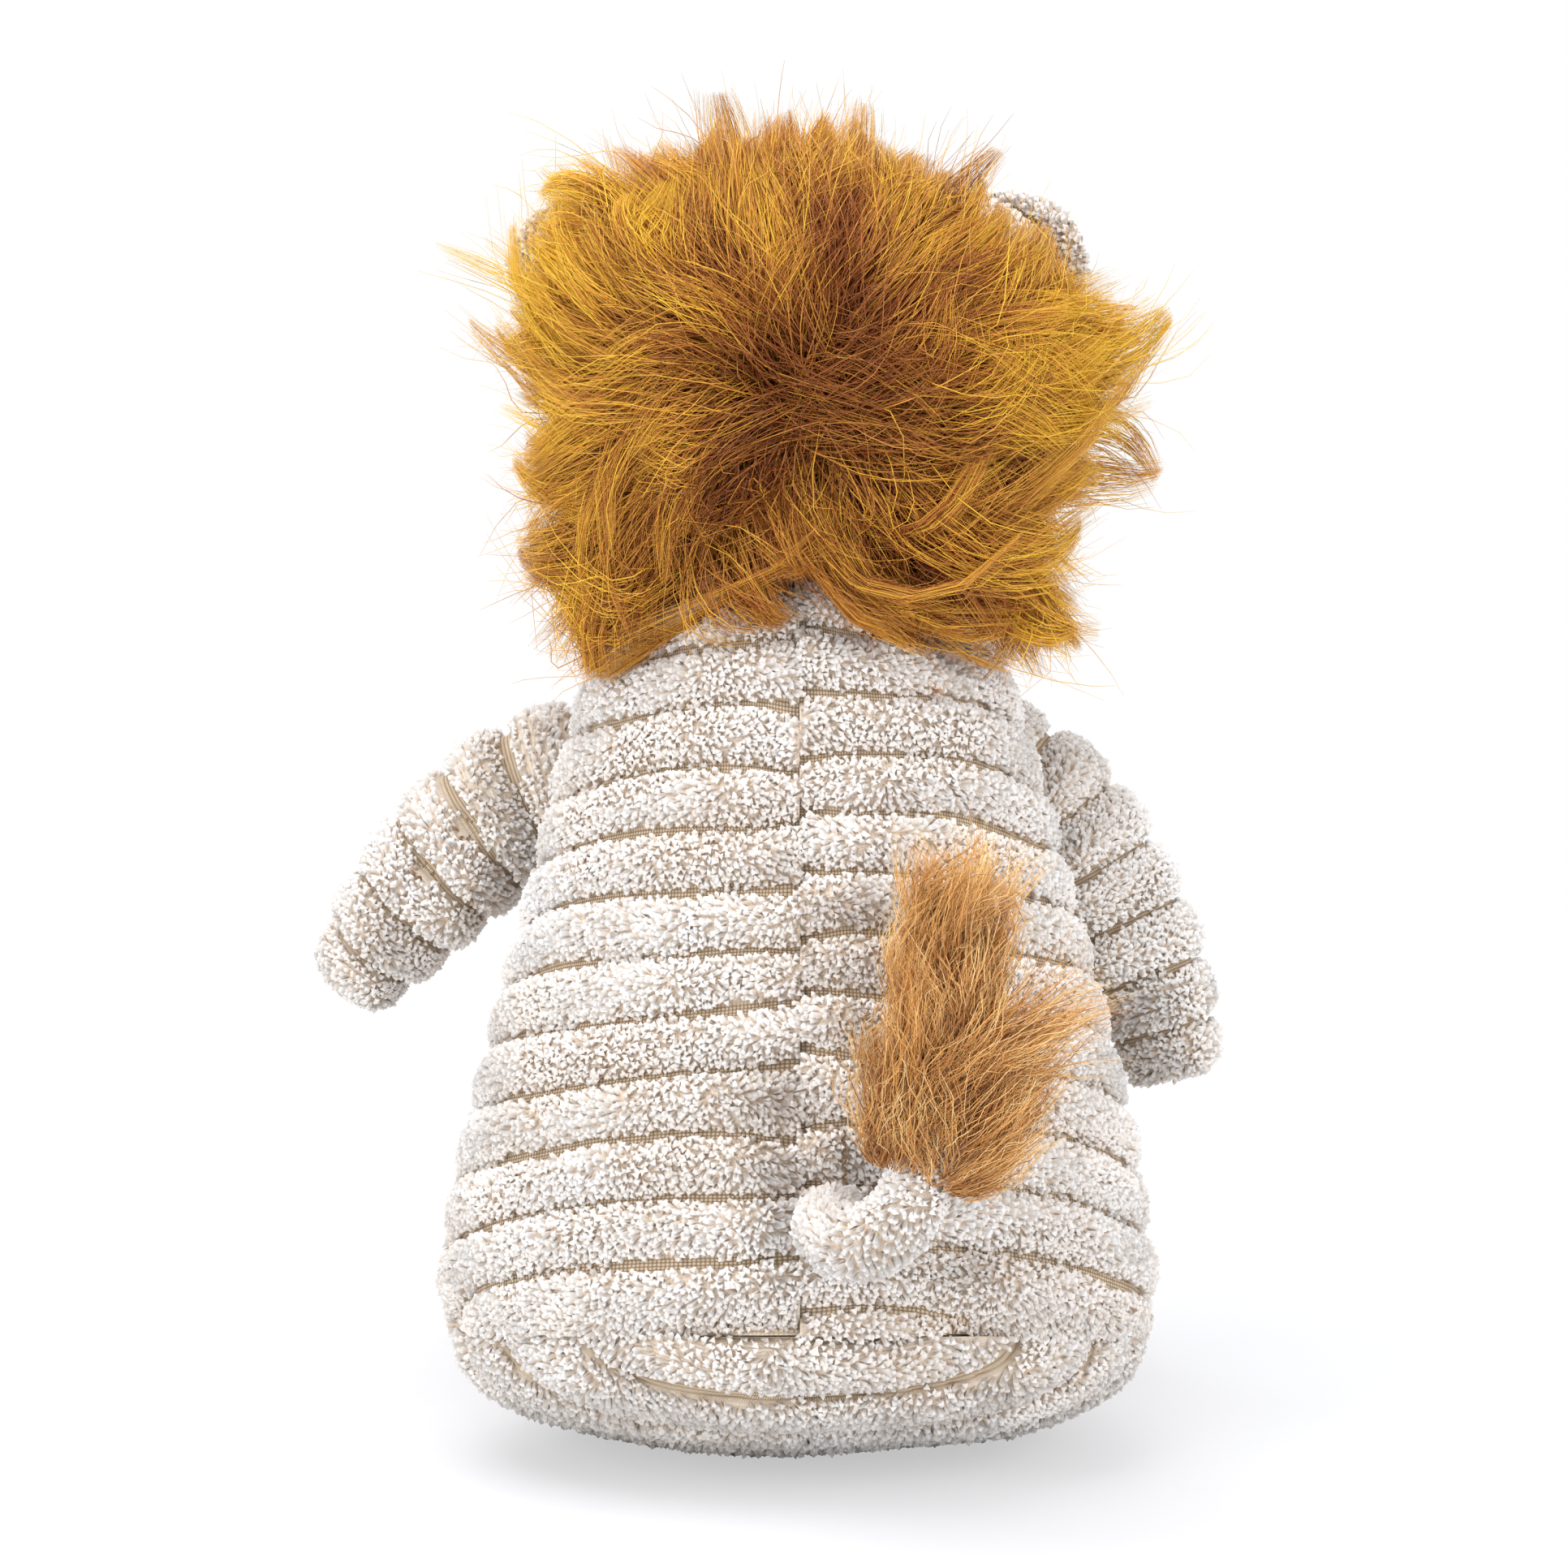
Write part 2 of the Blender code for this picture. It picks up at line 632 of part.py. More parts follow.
def ear_rings(width, height, thick_low, thick_high, hem):
    """Sections through an ear from side to side: rounded at the root, level sides, rounded rim."""
    middle = (thick_low + thick_high) / 2
    half = (thick_high - thick_low) / 2
    rings = []
    for share in (-0.97, -0.85, -0.6, -0.3, 0, 0.3, 0.6, 0.85, 0.97):
        rise = hem + (height - hem) * math.sqrt(1 - share**2)
        ring = []
        for a in (180, 216, 252, 288, 324, 360):
            ring.append((share * width / 2, middle + half * math.cos(math.radians(a)), half * math.sin(math.radians(a))))
        for a in (0, 40, 90, 140, 180):
            up = rise - half + half * math.sin(math.radians(a))
            ring.append((share * width / 2, middle + half * math.cos(math.radians(a)), up))
        rings.append(ring)
    return rings


def make_ear(side, sign, head, face):
    """A cord ear with a plush lining let into its front, folding about its root."""
    section = math.sqrt(1 - (EAR_FORWARD / HEAD_HALF_DEPTH) ** 2)
    wide = HEAD_HALF_WIDTH * section
    tall = HEAD_HALF_HEIGHT * section
    reach = 1 / math.hypot(math.cos(EAR_ANGLE) / wide, math.sin(EAR_ANGLE) / tall) + EAR_STANDOFF
    place = (sign * reach * math.cos(EAR_ANGLE), -EAR_FORWARD, reach * math.sin(EAR_ANGLE))
    lean = sign * (math.pi / 2 - EAR_ANGLE)
    pivot = empty("ear_%s_pivot" % side, head, place, (0, lean, 0))
    half = EAR_THICKNESS / 2
    outer = ring_solid(
        "ear_%s_back" % side,
        ear_rings(EAR_WIDTH, EAR_HEIGHT, -half, half, half * 2),
        pivot,
        material("cord", CREAM, 0.9),
    )
    inner_rings = []
    for ring in ear_rings(EAR_WIDTH - EAR_HEM * 2, EAR_HEIGHT - EAR_HEM * 2, -EAR_LINING, EAR_LINING, EAR_LINING * 3):
        inner_rings.append([(x, y - half, z + EAR_HEM) for x, y, z in ring])
    lining = ring_solid("ear_%s_lining" % side, inner_rings, pivot, material("ear_lining", TAN, 0.9))
    far = EAR_WIDTH * 2
    keep = box_cutter("ear_%s_front" % side, (-far, -half - EAR_LINING * 0.25, -far), (far, far, far), pivot)
    cut(lining, keep, "INTERSECT")
    recess = []
    for ring in ear_rings(
        EAR_WIDTH - EAR_HEM * 2 + SEAM_GAP * 2,
        EAR_HEIGHT - EAR_HEM * 2 + SEAM_GAP,
        -EAR_LINING - SEAM_GAP,
        EAR_LINING + SEAM_GAP,
        EAR_LINING * 3 + SEAM_GAP,
    ):
        recess.append([(x, y - half, z + EAR_HEM) for x, y, z in ring])
    cut(outer, ring_solid("ear_%s_recess" % side, recess, pivot))
    groove_half = half + SEAM_GAP
    rings = []
    for x in (-EAR_WIDTH, EAR_WIDTH):
        turns = [math.tau * k / 24 for k in range(24)]
        rings.append([(x, groove_half * math.cos(t), groove_half * math.sin(t)) for t in turns])
    cut(face, ring_solid("ear_%s_groove" % side, rings, pivot))


def make_arm(side, sign, toy, panels, core, reach, drop, forward, bends):
    """A cord arm on a ball root in the armhole, bent at the elbow, with its filling."""
    share = pear_share(SHOULDER_HEIGHT)
    x = sign * BODY_HALF_WIDTH * share * math.cos(SHOULDER_ANGLE)
    y = -BODY_HALF_DEPTH * share * math.sin(SHOULDER_ANGLE)
    out = Vector((x / BODY_HALF_WIDTH**2, y / BODY_HALF_DEPTH**2, 0)).normalized()
    spot = Vector((x, y, SHOULDER_HEIGHT)) + out * SHOULDER_STANDOFF
    pivot = empty("arm_%s_pivot" % side, toy, spot)
    hinge = Vector((0, 1, 0))
    elbow, wrist = (Vector((sign * reach * a, -forward * b, -drop * c)) for a, b, c in bends)
    route = Route([Vector((0, 0, 0)), elbow, wrist, Vector((sign * reach, -forward, -drop))])
    length = route.length
    shape = (route, length, ARM_RADIUS, ARM_PROFILE_SHARES, True, ARM_THICKNESS_SHARE, hinge)
    skin = limb_form("arm_%s_skin" % side, *shape, pivot, material("cord", CREAM, 0.9))
    hollow = limb_inner(
        "arm_%s_hollow" % side, *shape, ARM_SKIN, -ARM_RADIUS - CUT_OVERRUN, length - SKIN * 1.6, pivot
    )
    cut(skin, hollow)
    limb_inner(
        "arm_%s_stuffing" % side,
        *shape,
        ARM_SKIN + SEAM_GAP,
        -ARM_RADIUS * 0.86,
        length - SKIN * 1.6 - SEAM_GAP,
        pivot,
        material("stuffing", FIBRE, 0.95),
    )
    seat = ball_cutter("arm_%s_seat" % side, ARM_RADIUS + SEAM_GAP, ARM_THICKNESS_SHARE, hinge, pivot)
    for piece in panels + [core]:
        cut(piece, seat)


def make_leg(side, sign, toy, floor, pieces, splay, low_place):
    """A short leg on the floor with a ball root at the hip, pellets inside and a round sole."""
    base_share = BODY_PROFILE_SHARES[0][1]
    x = sign * BODY_HALF_WIDTH * base_share * math.sin(HIP_ANGLE)
    y = -BODY_HALF_DEPTH * base_share * math.cos(HIP_ANGLE)
    out = Vector((x / BODY_HALF_WIDTH**2, y / BODY_HALF_DEPTH**2, 0)).normalized()
    spot = Vector((x, y, 0)) + out * HIP_STANDOFF
    world_y = spot.y * math.cos(LEAN) - spot.z * math.sin(LEAN) + low_place[1]
    pivot = empty("leg_%s_pivot" % side, None, (spot.x, world_y, LEG_RADIUS - FLOOR_CUT), (0, 0, sign * splay))
    hinge = Vector((1, 0, 0))
    swell = LEG_RADIUS * (LEG_PROFILE_SHARES[-1][1] - 1)
    end = Vector((0, -LEG_LENGTH, swell))
    route = Route([Vector((0, 0, 0)), end * (1 / 3), end * (2 / 3), end])
    shape = (route, route.length, LEG_RADIUS, LEG_PROFILE_SHARES, False, LEG_THICKNESS_SHARE, hinge)
    skin = limb_form("leg_%s_skin" % side, *shape, pivot, material("cord", CREAM, 0.9))
    start = -LEG_RADIUS - CUT_OVERRUN
    cut(skin, limb_inner("leg_%s_hollow" % side, *shape, SKIN, start, LEG_LENGTH + CUT_OVERRUN, pivot))
    limb_inner(
        "leg_%s_pellets" % side,
        *shape,
        SKIN + SEAM_GAP,
        -LEG_RADIUS * 0.86,
        route.length,
        pivot,
        material("pellets", LINEN, 0.8),
    )
    rings = []
    end_radius = LEG_RADIUS * LEG_PROFILE_SHARES[-1][1]
    for angle in (0, 25, 50, 72, 84):
        crown = SOLE_CROWN * math.sin(math.radians(angle))
        size = end_radius * math.cos(math.radians(angle)) ** 0.7
        rings.append(limb_ring(route, route.length + SEAM_GAP + crown, size, 1, hinge, 20))
    sole = ring_solid("sole_" + side, rings, pivot, material("sole", TAN, 0.9))
    for piece in (skin, sole):
        cut(piece, floor)
    root_radius = LEG_RADIUS * LEG_PROFILE_SHARES[0][1]
    seat = ball_cutter("leg_%s_seat" % side, root_radius + SEAM_GAP, LEG_THICKNESS_SHARE, hinge, pivot)
    for piece in pieces:
        cut(piece, seat)


def make_tail(toy, panels, core):
    """A thin cord stalk from the rear seam that curls up into a long tuft."""
    y = BODY_HALF_DEPTH * pear_share(TAIL_HEIGHT) + TAIL_STANDOFF
    pivot = empty("tail_pivot", toy, (-TAIL_SIDE, y, TAIL_HEIGHT))
    hinge = Vector((0, 0, 1))
    turn_out = Vector((-TAIL_ACROSS * 0.2, TAIL_OUT, -TAIL_DIP))
    turn_up = Vector((-TAIL_ACROSS, TAIL_OUT * 1.15, -TAIL_DIP * 0.5))
    tip = Vector((-TAIL_ACROSS, TAIL_BACK, TAIL_CURL))
    route = Route([Vector((0, 0, 0)), turn_out, turn_up, tip])
    length = route.length
    stalk_end = length * STALK_END_SHARE
    side_way = Vector((1, 0, 0))

    def stalk_rings(gap):
        rings = []
        for share in (-0.95, -0.8, -0.5):
            size = TAIL_RADIUS * math.sqrt(1 - share**2) + gap
            rings.append(limb_ring(route, TAIL_RADIUS * share, size, 1, side_way, 12))
        steps = 9
        for i in range(steps + 1):
            place = (stalk_end + gap) * i / steps
            rings.append(limb_ring(route, place, TAIL_RADIUS * (1 - 0.25 * i / steps) + gap, 1, side_way, 12))
        return rings

    ring_solid("tail_stalk", stalk_rings(0), pivot, material("cord", CREAM, 0.9))
    rings = []
    steps = 13
    for i in range(steps + 1):
        share = i / steps
        place = length * (TUFT_START_SHARE + (1 - TUFT_START_SHARE) * share)
        size = TUFT_RADIUS * share_at(TUFT_PROFILE_SHARES, share)
        rings.append(limb_ring(route, place, size, 1, side_way, 16))
    tuft = ring_solid("tail_tuft", rings, pivot, material("tuft", GOLD, 0.85))
    cut(tuft, ring_solid("tuft_bore", stalk_rings(SEAM_GAP), pivot))
    seat = ball_cutter("tail_seat", TAIL_RADIUS + SEAM_GAP, 1, hinge, pivot)
    for piece in panels[:2] + [core]:
        cut(piece, seat)


def main():
    clear_scene()
    low, low_y, low_z = lowest_of_dome()
    toy_y = -(low_y * math.cos(LEAN) - low_z * math.sin(LEAN))
    toy = empty("toy_frame", None, (0, toy_y, -low - BASE_FLAT), (LEAN, 0, 0))
    far = BODY_HEIGHT
    floor = box_cutter("floor", (-far, -far, -far), (far, far, 0), None)
    base, bag, core, panels = make_body(toy)
    cut(base, floor)
    turn = empty("neck_pivot", toy, (0, 0, NECK_HEIGHT))
    nod = empty("head_pivot", turn, (0, 0, 0))
    head = empty("head_frame", nod, (0, 0, HEAD_RISE))
    fibre = material("stuffing", FIBRE, 0.95)
    ellipsoid("neck_plug", (NECK_RADIUS,) * 3, math.radians(10), math.radians(170), 10, 20, turn, fibre)
    plug_seat = ball_cutter("neck_seat", NECK_RADIUS + SEAM_GAP, 1, Vector((0, 1, 0)), turn)
    for piece in panels + [core]:
        cut(piece, plug_seat)
    head_core, face, back = make_head(nod, head)
    make_mane(head)
    make_muzzle(head)
    for side, sign in (("left", 1), ("right", -1)):
        make_eye(side, sign, head, face, head_core)
        make_ear(side, sign, head, face)
    make_arm("left", 1, toy, panels, core, ARM_LEFT_REACH, ARM_LEFT_DROP, ARM_LEFT_FORWARD, ARM_LEFT_BEND_SHARES)
    make_arm(
        "right", -1, toy, panels, core, ARM_RIGHT_REACH, ARM_RIGHT_DROP, ARM_RIGHT_FORWARD, ARM_RIGHT_BEND_SHARES
    )
    around_hip = [base, bag, core, panels[2]]
    make_leg("left", 1, toy, floor, around_hip, LEG_SPLAY_LEFT, (0, toy_y))
    make_leg("right", -1, toy, floor, around_hip, LEG_SPLAY_RIGHT, (0, toy_y))
    make_tail(toy, panels, core)


main()
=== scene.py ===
"""A seated plush lion of cream wide-wale cord with a fur mane and a tufted tail, over its CAD model."""
import math

import bpy
import numpy as np
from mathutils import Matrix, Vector


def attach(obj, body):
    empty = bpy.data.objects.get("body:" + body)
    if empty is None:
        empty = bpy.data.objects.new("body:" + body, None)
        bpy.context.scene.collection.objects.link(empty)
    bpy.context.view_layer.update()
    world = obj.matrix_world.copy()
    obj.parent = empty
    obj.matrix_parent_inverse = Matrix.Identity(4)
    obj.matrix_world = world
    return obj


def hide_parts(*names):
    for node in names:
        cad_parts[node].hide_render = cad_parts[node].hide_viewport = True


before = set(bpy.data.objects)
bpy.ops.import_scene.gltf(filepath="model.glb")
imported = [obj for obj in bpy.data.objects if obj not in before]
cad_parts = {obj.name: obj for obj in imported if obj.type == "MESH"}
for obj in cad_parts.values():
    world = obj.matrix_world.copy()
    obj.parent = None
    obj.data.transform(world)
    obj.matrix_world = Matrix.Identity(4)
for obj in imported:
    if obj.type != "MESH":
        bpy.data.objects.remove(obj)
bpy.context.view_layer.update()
scene = bpy.context.scene


# Studio: a white sweep under one broad soft light overhead, two beside the camera and one that
# lights the face. The camera looks at the lion's back from a little above.
VIEW_RISE = math.radians(8)
VIEW_REACH = 1.6
VIEW_WIDTH = 0.386
SENSOR_WIDTH = 36
AIR_LIGHT = 0.72
SWEEP_HALF = 9
SWEEP_FADE_FROM = 0.35
SWEEP_FADE_TO = 0.9
WHITE = (1, 1, 1, 1)
aim = Vector((0.0038, 0.02, 0.1664))
back_way = Vector((0, math.cos(VIEW_RISE), math.sin(VIEW_RISE)))


def placed(name, data):
    piece = bpy.data.objects.new(name, data)
    scene.collection.objects.link(piece)
    return piece


camera = placed("studio_camera", bpy.data.cameras.new("studio_camera"))
camera.location = aim + back_way * VIEW_REACH
camera.rotation_euler = (-back_way).to_track_quat("-Z", "Y").to_euler()
camera.data.sensor_width = SENSOR_WIDTH
camera.data.lens = SENSOR_WIDTH * VIEW_REACH / VIEW_WIDTH
camera.data.clip_start = 0.05
camera.data.clip_end = 50
scene.camera = camera
scene.view_settings.view_transform = "Standard"

for lamp_name, place, size, power in (
    ("overhead_softbox", (0.25, 0.30, 1.5), 1.2, 16.0),
    ("left_softbox", (1.2, 1.3, 0.7), 0.9, 11.0),
    ("right_softbox", (-1.3, 1.1, 0.8), 0.9, 11.0),
    ("front_softbox", (0.3, -1.5, 0.9), 1.2, 11.0),
):
    lamp = placed(lamp_name, bpy.data.lights.new(lamp_name, "AREA"))
    lamp.location = place
    lamp.rotation_euler = (aim - lamp.location).to_track_quat("-Z", "Y").to_euler()
    lamp.data.size = size
    lamp.data.energy = power


def wired(tree, kind, inputs=(), **settings):
    """A new shader node with its settings. An input takes a value, a socket or a node's first output."""
    node = tree.nodes.new("ShaderNode" + kind)
    for name, value in settings.items():
        setattr(node, name, value)
    for place, source in dict(inputs).items():
        if isinstance(source, bpy.types.Node):
            source = source.outputs[0]
        if isinstance(source, bpy.types.NodeSocket):
            tree.links.new(source, node.inputs[place])
        else:
            node.inputs[place].default_value = source
    return node


def eased(tree, source, start, end, kind="SMOOTHSTEP"):
    """How far a value has come from its start to its end, from 0 to 1."""
    inputs = {"Value": source, "From Min": start, "From Max": end}
    return wired(tree, "MapRange", inputs, interpolation_type=kind)


def bare_tree(holder):
    holder.use_nodes = True
    holder.node_tree.nodes.clear()
    return holder.node_tree


world = bpy.data.worlds.new("studio_air")
scene.world = world
air = bare_tree(world)
rays = wired(air, "LightPath").outputs
seen = wired(air, "Math", {0: rays["Is Camera Ray"], 1: rays["Is Glossy Ray"]}, operation="MAXIMUM")
clear = wired(air, "Math", {0: seen, 1: rays["Is Transmission Ray"]}, operation="MAXIMUM")
fill = wired(air, "Background", {"Color": (0.97, 0.98, 1.0, 1), "Strength": AIR_LIGHT})
white = wired(air, "Background", {"Color": WHITE})
either = wired(air, "MixShader", {"Fac": clear, 1: fill, 2: white})
wired(air, "OutputWorld", {"Surface": either})

sweep_mesh = bpy.data.meshes.new("floor_sweep")
corners = [(x * SWEEP_HALF, y * SWEEP_HALF, 0) for x, y in ((-1, -1), (1, -1), (1, 1), (-1, 1))]
sweep_mesh.from_pydata(corners, [], [(0, 1, 2, 3)])
sweep = placed("floor_sweep", sweep_mesh)
sweep_paint = bpy.data.materials.new("floor_white")
paint = bare_tree(sweep_paint)
matt = wired(paint, "BsdfDiffuse", {"Color": (0.36, 0.365, 0.38, 1)})
bounce = wired(paint, "BsdfDiffuse", {"Color": (0.84, 0.84, 0.84, 1)})
lift = wired(paint, "Emission", {"Color": (0.52, 0.518, 0.522, 1)})
glow = wired(paint, "Emission", {"Color": WHITE})
lit = wired(paint, "AddShader", {0: matt, 1: lift})
spot = wired(paint, "TexCoord").outputs["Object"]
span = wired(paint, "VectorMath", {0: spot}, operation="LENGTH").outputs["Value"]
fade = eased(paint, span, SWEEP_FADE_FROM, SWEEP_FADE_TO)
far = wired(paint, "MixShader", {"Fac": fade, 1: lit, 2: glow})
seen = wired(paint, "LightPath").outputs["Is Camera Ray"]
either = wired(paint, "MixShader", {"Fac": seen, 1: bounce, 2: far})
wired(paint, "OutputMaterial", {"Surface": either})
sweep_mesh.materials.append(sweep_paint)


# Base panel: an oval of plush cord drawn in round its edge over the pellet bag, so that it
# bellies down to the floor. Its wales run from side to side and show as smiles from behind.
LEAN = math.radians(12)
TOY_PLACE = np.array((0.0, 0.030541, 0.030737))
BODY_HALF_WIDTH = 0.0865
BODY_HALF_DEPTH = 0.070
BASE_SHARE = 0.975
BASE_DEPTH = 0.028
BASE_FULLNESS = 2.3
BASE_GROOVE = 0.0589
BASE_SMILE = 1.42
BASE_WALE_SHARE = 0.92
BASE_UNEVENNESS = 0.0008
HEM = 0.0032
WALE_PITCH = 0.0149
BARE_SHARE = 0.11
PILE_SHARE = 1 - BARE_SHARE * 2
WALE_FULLNESS = 3
WALE_SHOULDER = 0.55
WALE_WANDER = 0.09
CORD_DEPTH = 0.0031
CORD_CROWN = 0.0004
BACKING_LIFT = 0.0003
FLOOR_LIFT = CORD_DEPTH * 0.4
PILE_GAP = 0.00118
PILE_LENGTH = 0.0031
PILE_WIDTH = 0.00152
PILE_RINGS = ((0.0, 0.44), (0.76, 0.58))
PILE_TIP = 0.24
PILE_ROUNDNESS = 0.5
PILE_LIFT = 0.0001
ROOT_SINK = 0.0002
PILE_RISE = 0.70
PILE_FAN = 0.85
PILE_COMB = 0.55
PILE_BLEND = 0.4
PILE_MOST = 21000
PILE_LAY = 1.9
PILE_STRAY = 0.18
PILE_TONE = 0.66
PINCH_REACH = 0.0036
PINCH_KEPT = PINCH_REACH * 0.35
PINCH_PULL = 1.4
PINCH_SHORT = 0.35
# Painted shade in the puckers that the stitches draw in.
PINCH_PAINTED_SHADE = 1.9
STREW_SHIFT = 0.45
TONE_SPAN = (0.02, 0.98)
THREAD_SCALE = 390


def stand(points):
    """Points of the toy's own leaning frame, in the room."""
    x, y, z = points[..., 0], points[..., 1], points[..., 2]
    c, s = math.cos(LEAN), math.sin(LEAN)
    return np.stack([x, y * c - z * s, y * s + z * c], -1) + TOY_PLACE


def unit(vectors):
    return vectors / np.maximum(np.linalg.norm(vectors, axis=-1, keepdims=True), 1e-12)


def bell(places):
    """1 at no distance, and soon less."""
    return np.exp(-(places**2))


def lifted(points, least):
    """The same points, none of them lower than the least height over the floor."""
    points[..., 2] = np.maximum(points[..., 2], least)
    return points


def run_of(points):
    """How far along a line each of its points is."""
    return np.concatenate([[0], np.cumsum(np.linalg.norm(np.diff(points, axis=0), axis=1))])


def ripple(points, reach, seed):
    """Smooth unevenness from -1 to 1 that changes over a reach, the same at the same place."""
    dice = np.random.default_rng(seed)
    waves = unit(dice.normal(size=(7, 3))) * (math.tau / reach) * dice.uniform(0.6, 1.5, (7, 1))
    phases = dice.uniform(0, math.tau, 7)
    return np.sin(points @ waves.T + phases).sum(-1) / 4


def sewn_mesh(name, points, faces, finish, uv=None):
    """An object from arrays of points and of equal faces, smooth, with one UV pair to a corner."""
    mesh = bpy.data.meshes.new(name)
    count, sides = faces.shape
    mesh.vertices.add(len(points))
    mesh.vertices.foreach_set("co", np.ascontiguousarray(points, np.float32).ravel())
    mesh.loops.add(count * sides)
    mesh.loops.foreach_set("vertex_index", np.ascontiguousarray(faces, np.int32).ravel())
    mesh.polygons.add(count)
    mesh.polygons.foreach_set("loop_start", np.arange(0, count * sides, sides, dtype=np.int32))
    mesh.update(calc_edges=True)
    if uv is not None:
        layer = mesh.uv_layers.new(name="OFBake")
        layer.data.foreach_set("uv", np.ascontiguousarray(uv[faces.ravel()], np.float32).ravel())
    mesh.shade_smooth()
    mesh.materials.append(finish)
    return placed(name, mesh)


def fasten(pieces, body, slot, node):
    """Put pieces on a body and hide the node of the CAD model that they stand for."""
    for piece in pieces:
        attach(piece, body)
    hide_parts(node)


def grid_of(u_span, v_span, cells, facing):
    """The spots of a chart in rows and columns, and the quads between them, wound to face outward."""
    rows, cols = cells
    u, v = np.meshgrid(np.linspace(*u_span, cols + 1), np.linspace(*v_span, rows + 1))
    first = (np.arange(rows)[:, None] * (cols + 1) + np.arange(cols)[None]).ravel()
    quads = np.stack([first, first + 1, first + cols + 2, first + cols + 1], 1)
    return u.ravel(), v.ravel(), quads[:, ::facing]


def bearings(chart, u, v, facing):
    """Each spot of a chart with its outward way and its way across the wales."""
    small = 1e-5
    here = chart(u, v)
    along = (chart(u + small, v) - here) / small
    across = (chart(u, v + small) - here) / small
    out = unit(np.cross(along, across)) * facing
    return here, out, unit(across)


def wale_side(places):
    """Which side of its wale's crown a place is: 0 on the crown, -1 and 1 in the middle of the grooves."""
    share = places / WALE_PITCH - np.floor(places / WALE_PITCH)
    return 2 * share - 1


def wale_rise(places):
    """How full the pile stands at a place across the wales: 0 on the bare backing, 1 at a crown."""
    side = np.abs(wale_side(places))
    inside = np.clip(side / PILE_SHARE, 0, 1)
    return np.where(side < PILE_SHARE, (1 - inside**WALE_FULLNESS) ** WALE_SHOULDER, 0)


def strew(chart, u_span, v_span, gap, dice):
    """Spots at an even spacing over a chart, each moved a little by chance."""
    v_line = np.linspace(*v_span, 300)
    reach = run_of(chart(np.full(300, sum(u_span) / 2), v_line))
    rows = max(int(reach[-1] / gap), 1)
    pace = (v_span[1] - v_span[0]) / rows
    us, vs = [], []
    for i in range(rows):
        v = np.interp((i + 0.5) * reach[-1] / rows, reach, v_line)
        u_line = np.linspace(*u_span, 90)
        length = run_of(chart(u_line, np.full(90, v)))
        count = int(length[-1] / gap)
        if count < 1:
            continue
        spots = (np.arange(count) + 0.5 + dice.uniform(-STREW_SHIFT, STREW_SHIFT, count)) * length[-1] / count
        us.append(np.interp(spots, length, u_line))
        vs.append(np.clip(v + dice.uniform(-STREW_SHIFT, STREW_SHIFT, count) * pace, *v_span))
    return np.concatenate(us), np.concatenate(vs)


def tufts(name, roots, ways, lengths, widths, tones, finish, dice):
    """Short twists of pile: each a bud of three sides on its root, with its tone and height as its UV."""
    count = len(roots)
    spin = unit(np.cross(ways, dice.normal(size=(count, 3))))
    other = np.cross(ways, spin)
    bend = unit(ways + spin * dice.normal(0, 0.25, (count, 1)) + np.array((0, 0, -0.15)))
    rings, facings = [], []
    for height, girth in PILE_RINGS:
        middle = roots + ways * (lengths * height)[:, None]
        for k in range(3):
            turn = math.tau * (k + height * 0.2) / 3
            side = spin * math.cos(turn) + other * math.sin(turn)
            rings.append(middle + side * (widths * girth)[:, None])
            facings.append(unit(ways + side * PILE_ROUNDNESS))
    tip = middle + bend * (lengths * PILE_TIP)[:, None]
    points = lifted(np.stack(rings + [tip], 1).reshape(-1, 3), PILE_LIFT)
    shape = []
    for k in range(3):
        j = (k + 1) % 3
        shape += [(k, j, 3 + j), (k, 3 + j, 3 + k), (3 + k, 3 + j, 6)]
    corners = len(rings) + 1
    faces = (np.array(shape)[None] + (np.arange(count) * corners)[:, None, None]).reshape(-1, 3)
    heights = np.repeat((0.02, PILE_RINGS[1][0], 0.98), (3, 3, 1))
    uv = np.stack([np.repeat(tones, corners), np.tile(heights, count)], 1)
    piece = sewn_mesh(name, points, faces, finish, uv)
    normals = np.stack(facings + [ways], 1).reshape(-1, 3)
    piece.data.normals_split_custom_set_from_vertices(normals.tolist())
    return piece


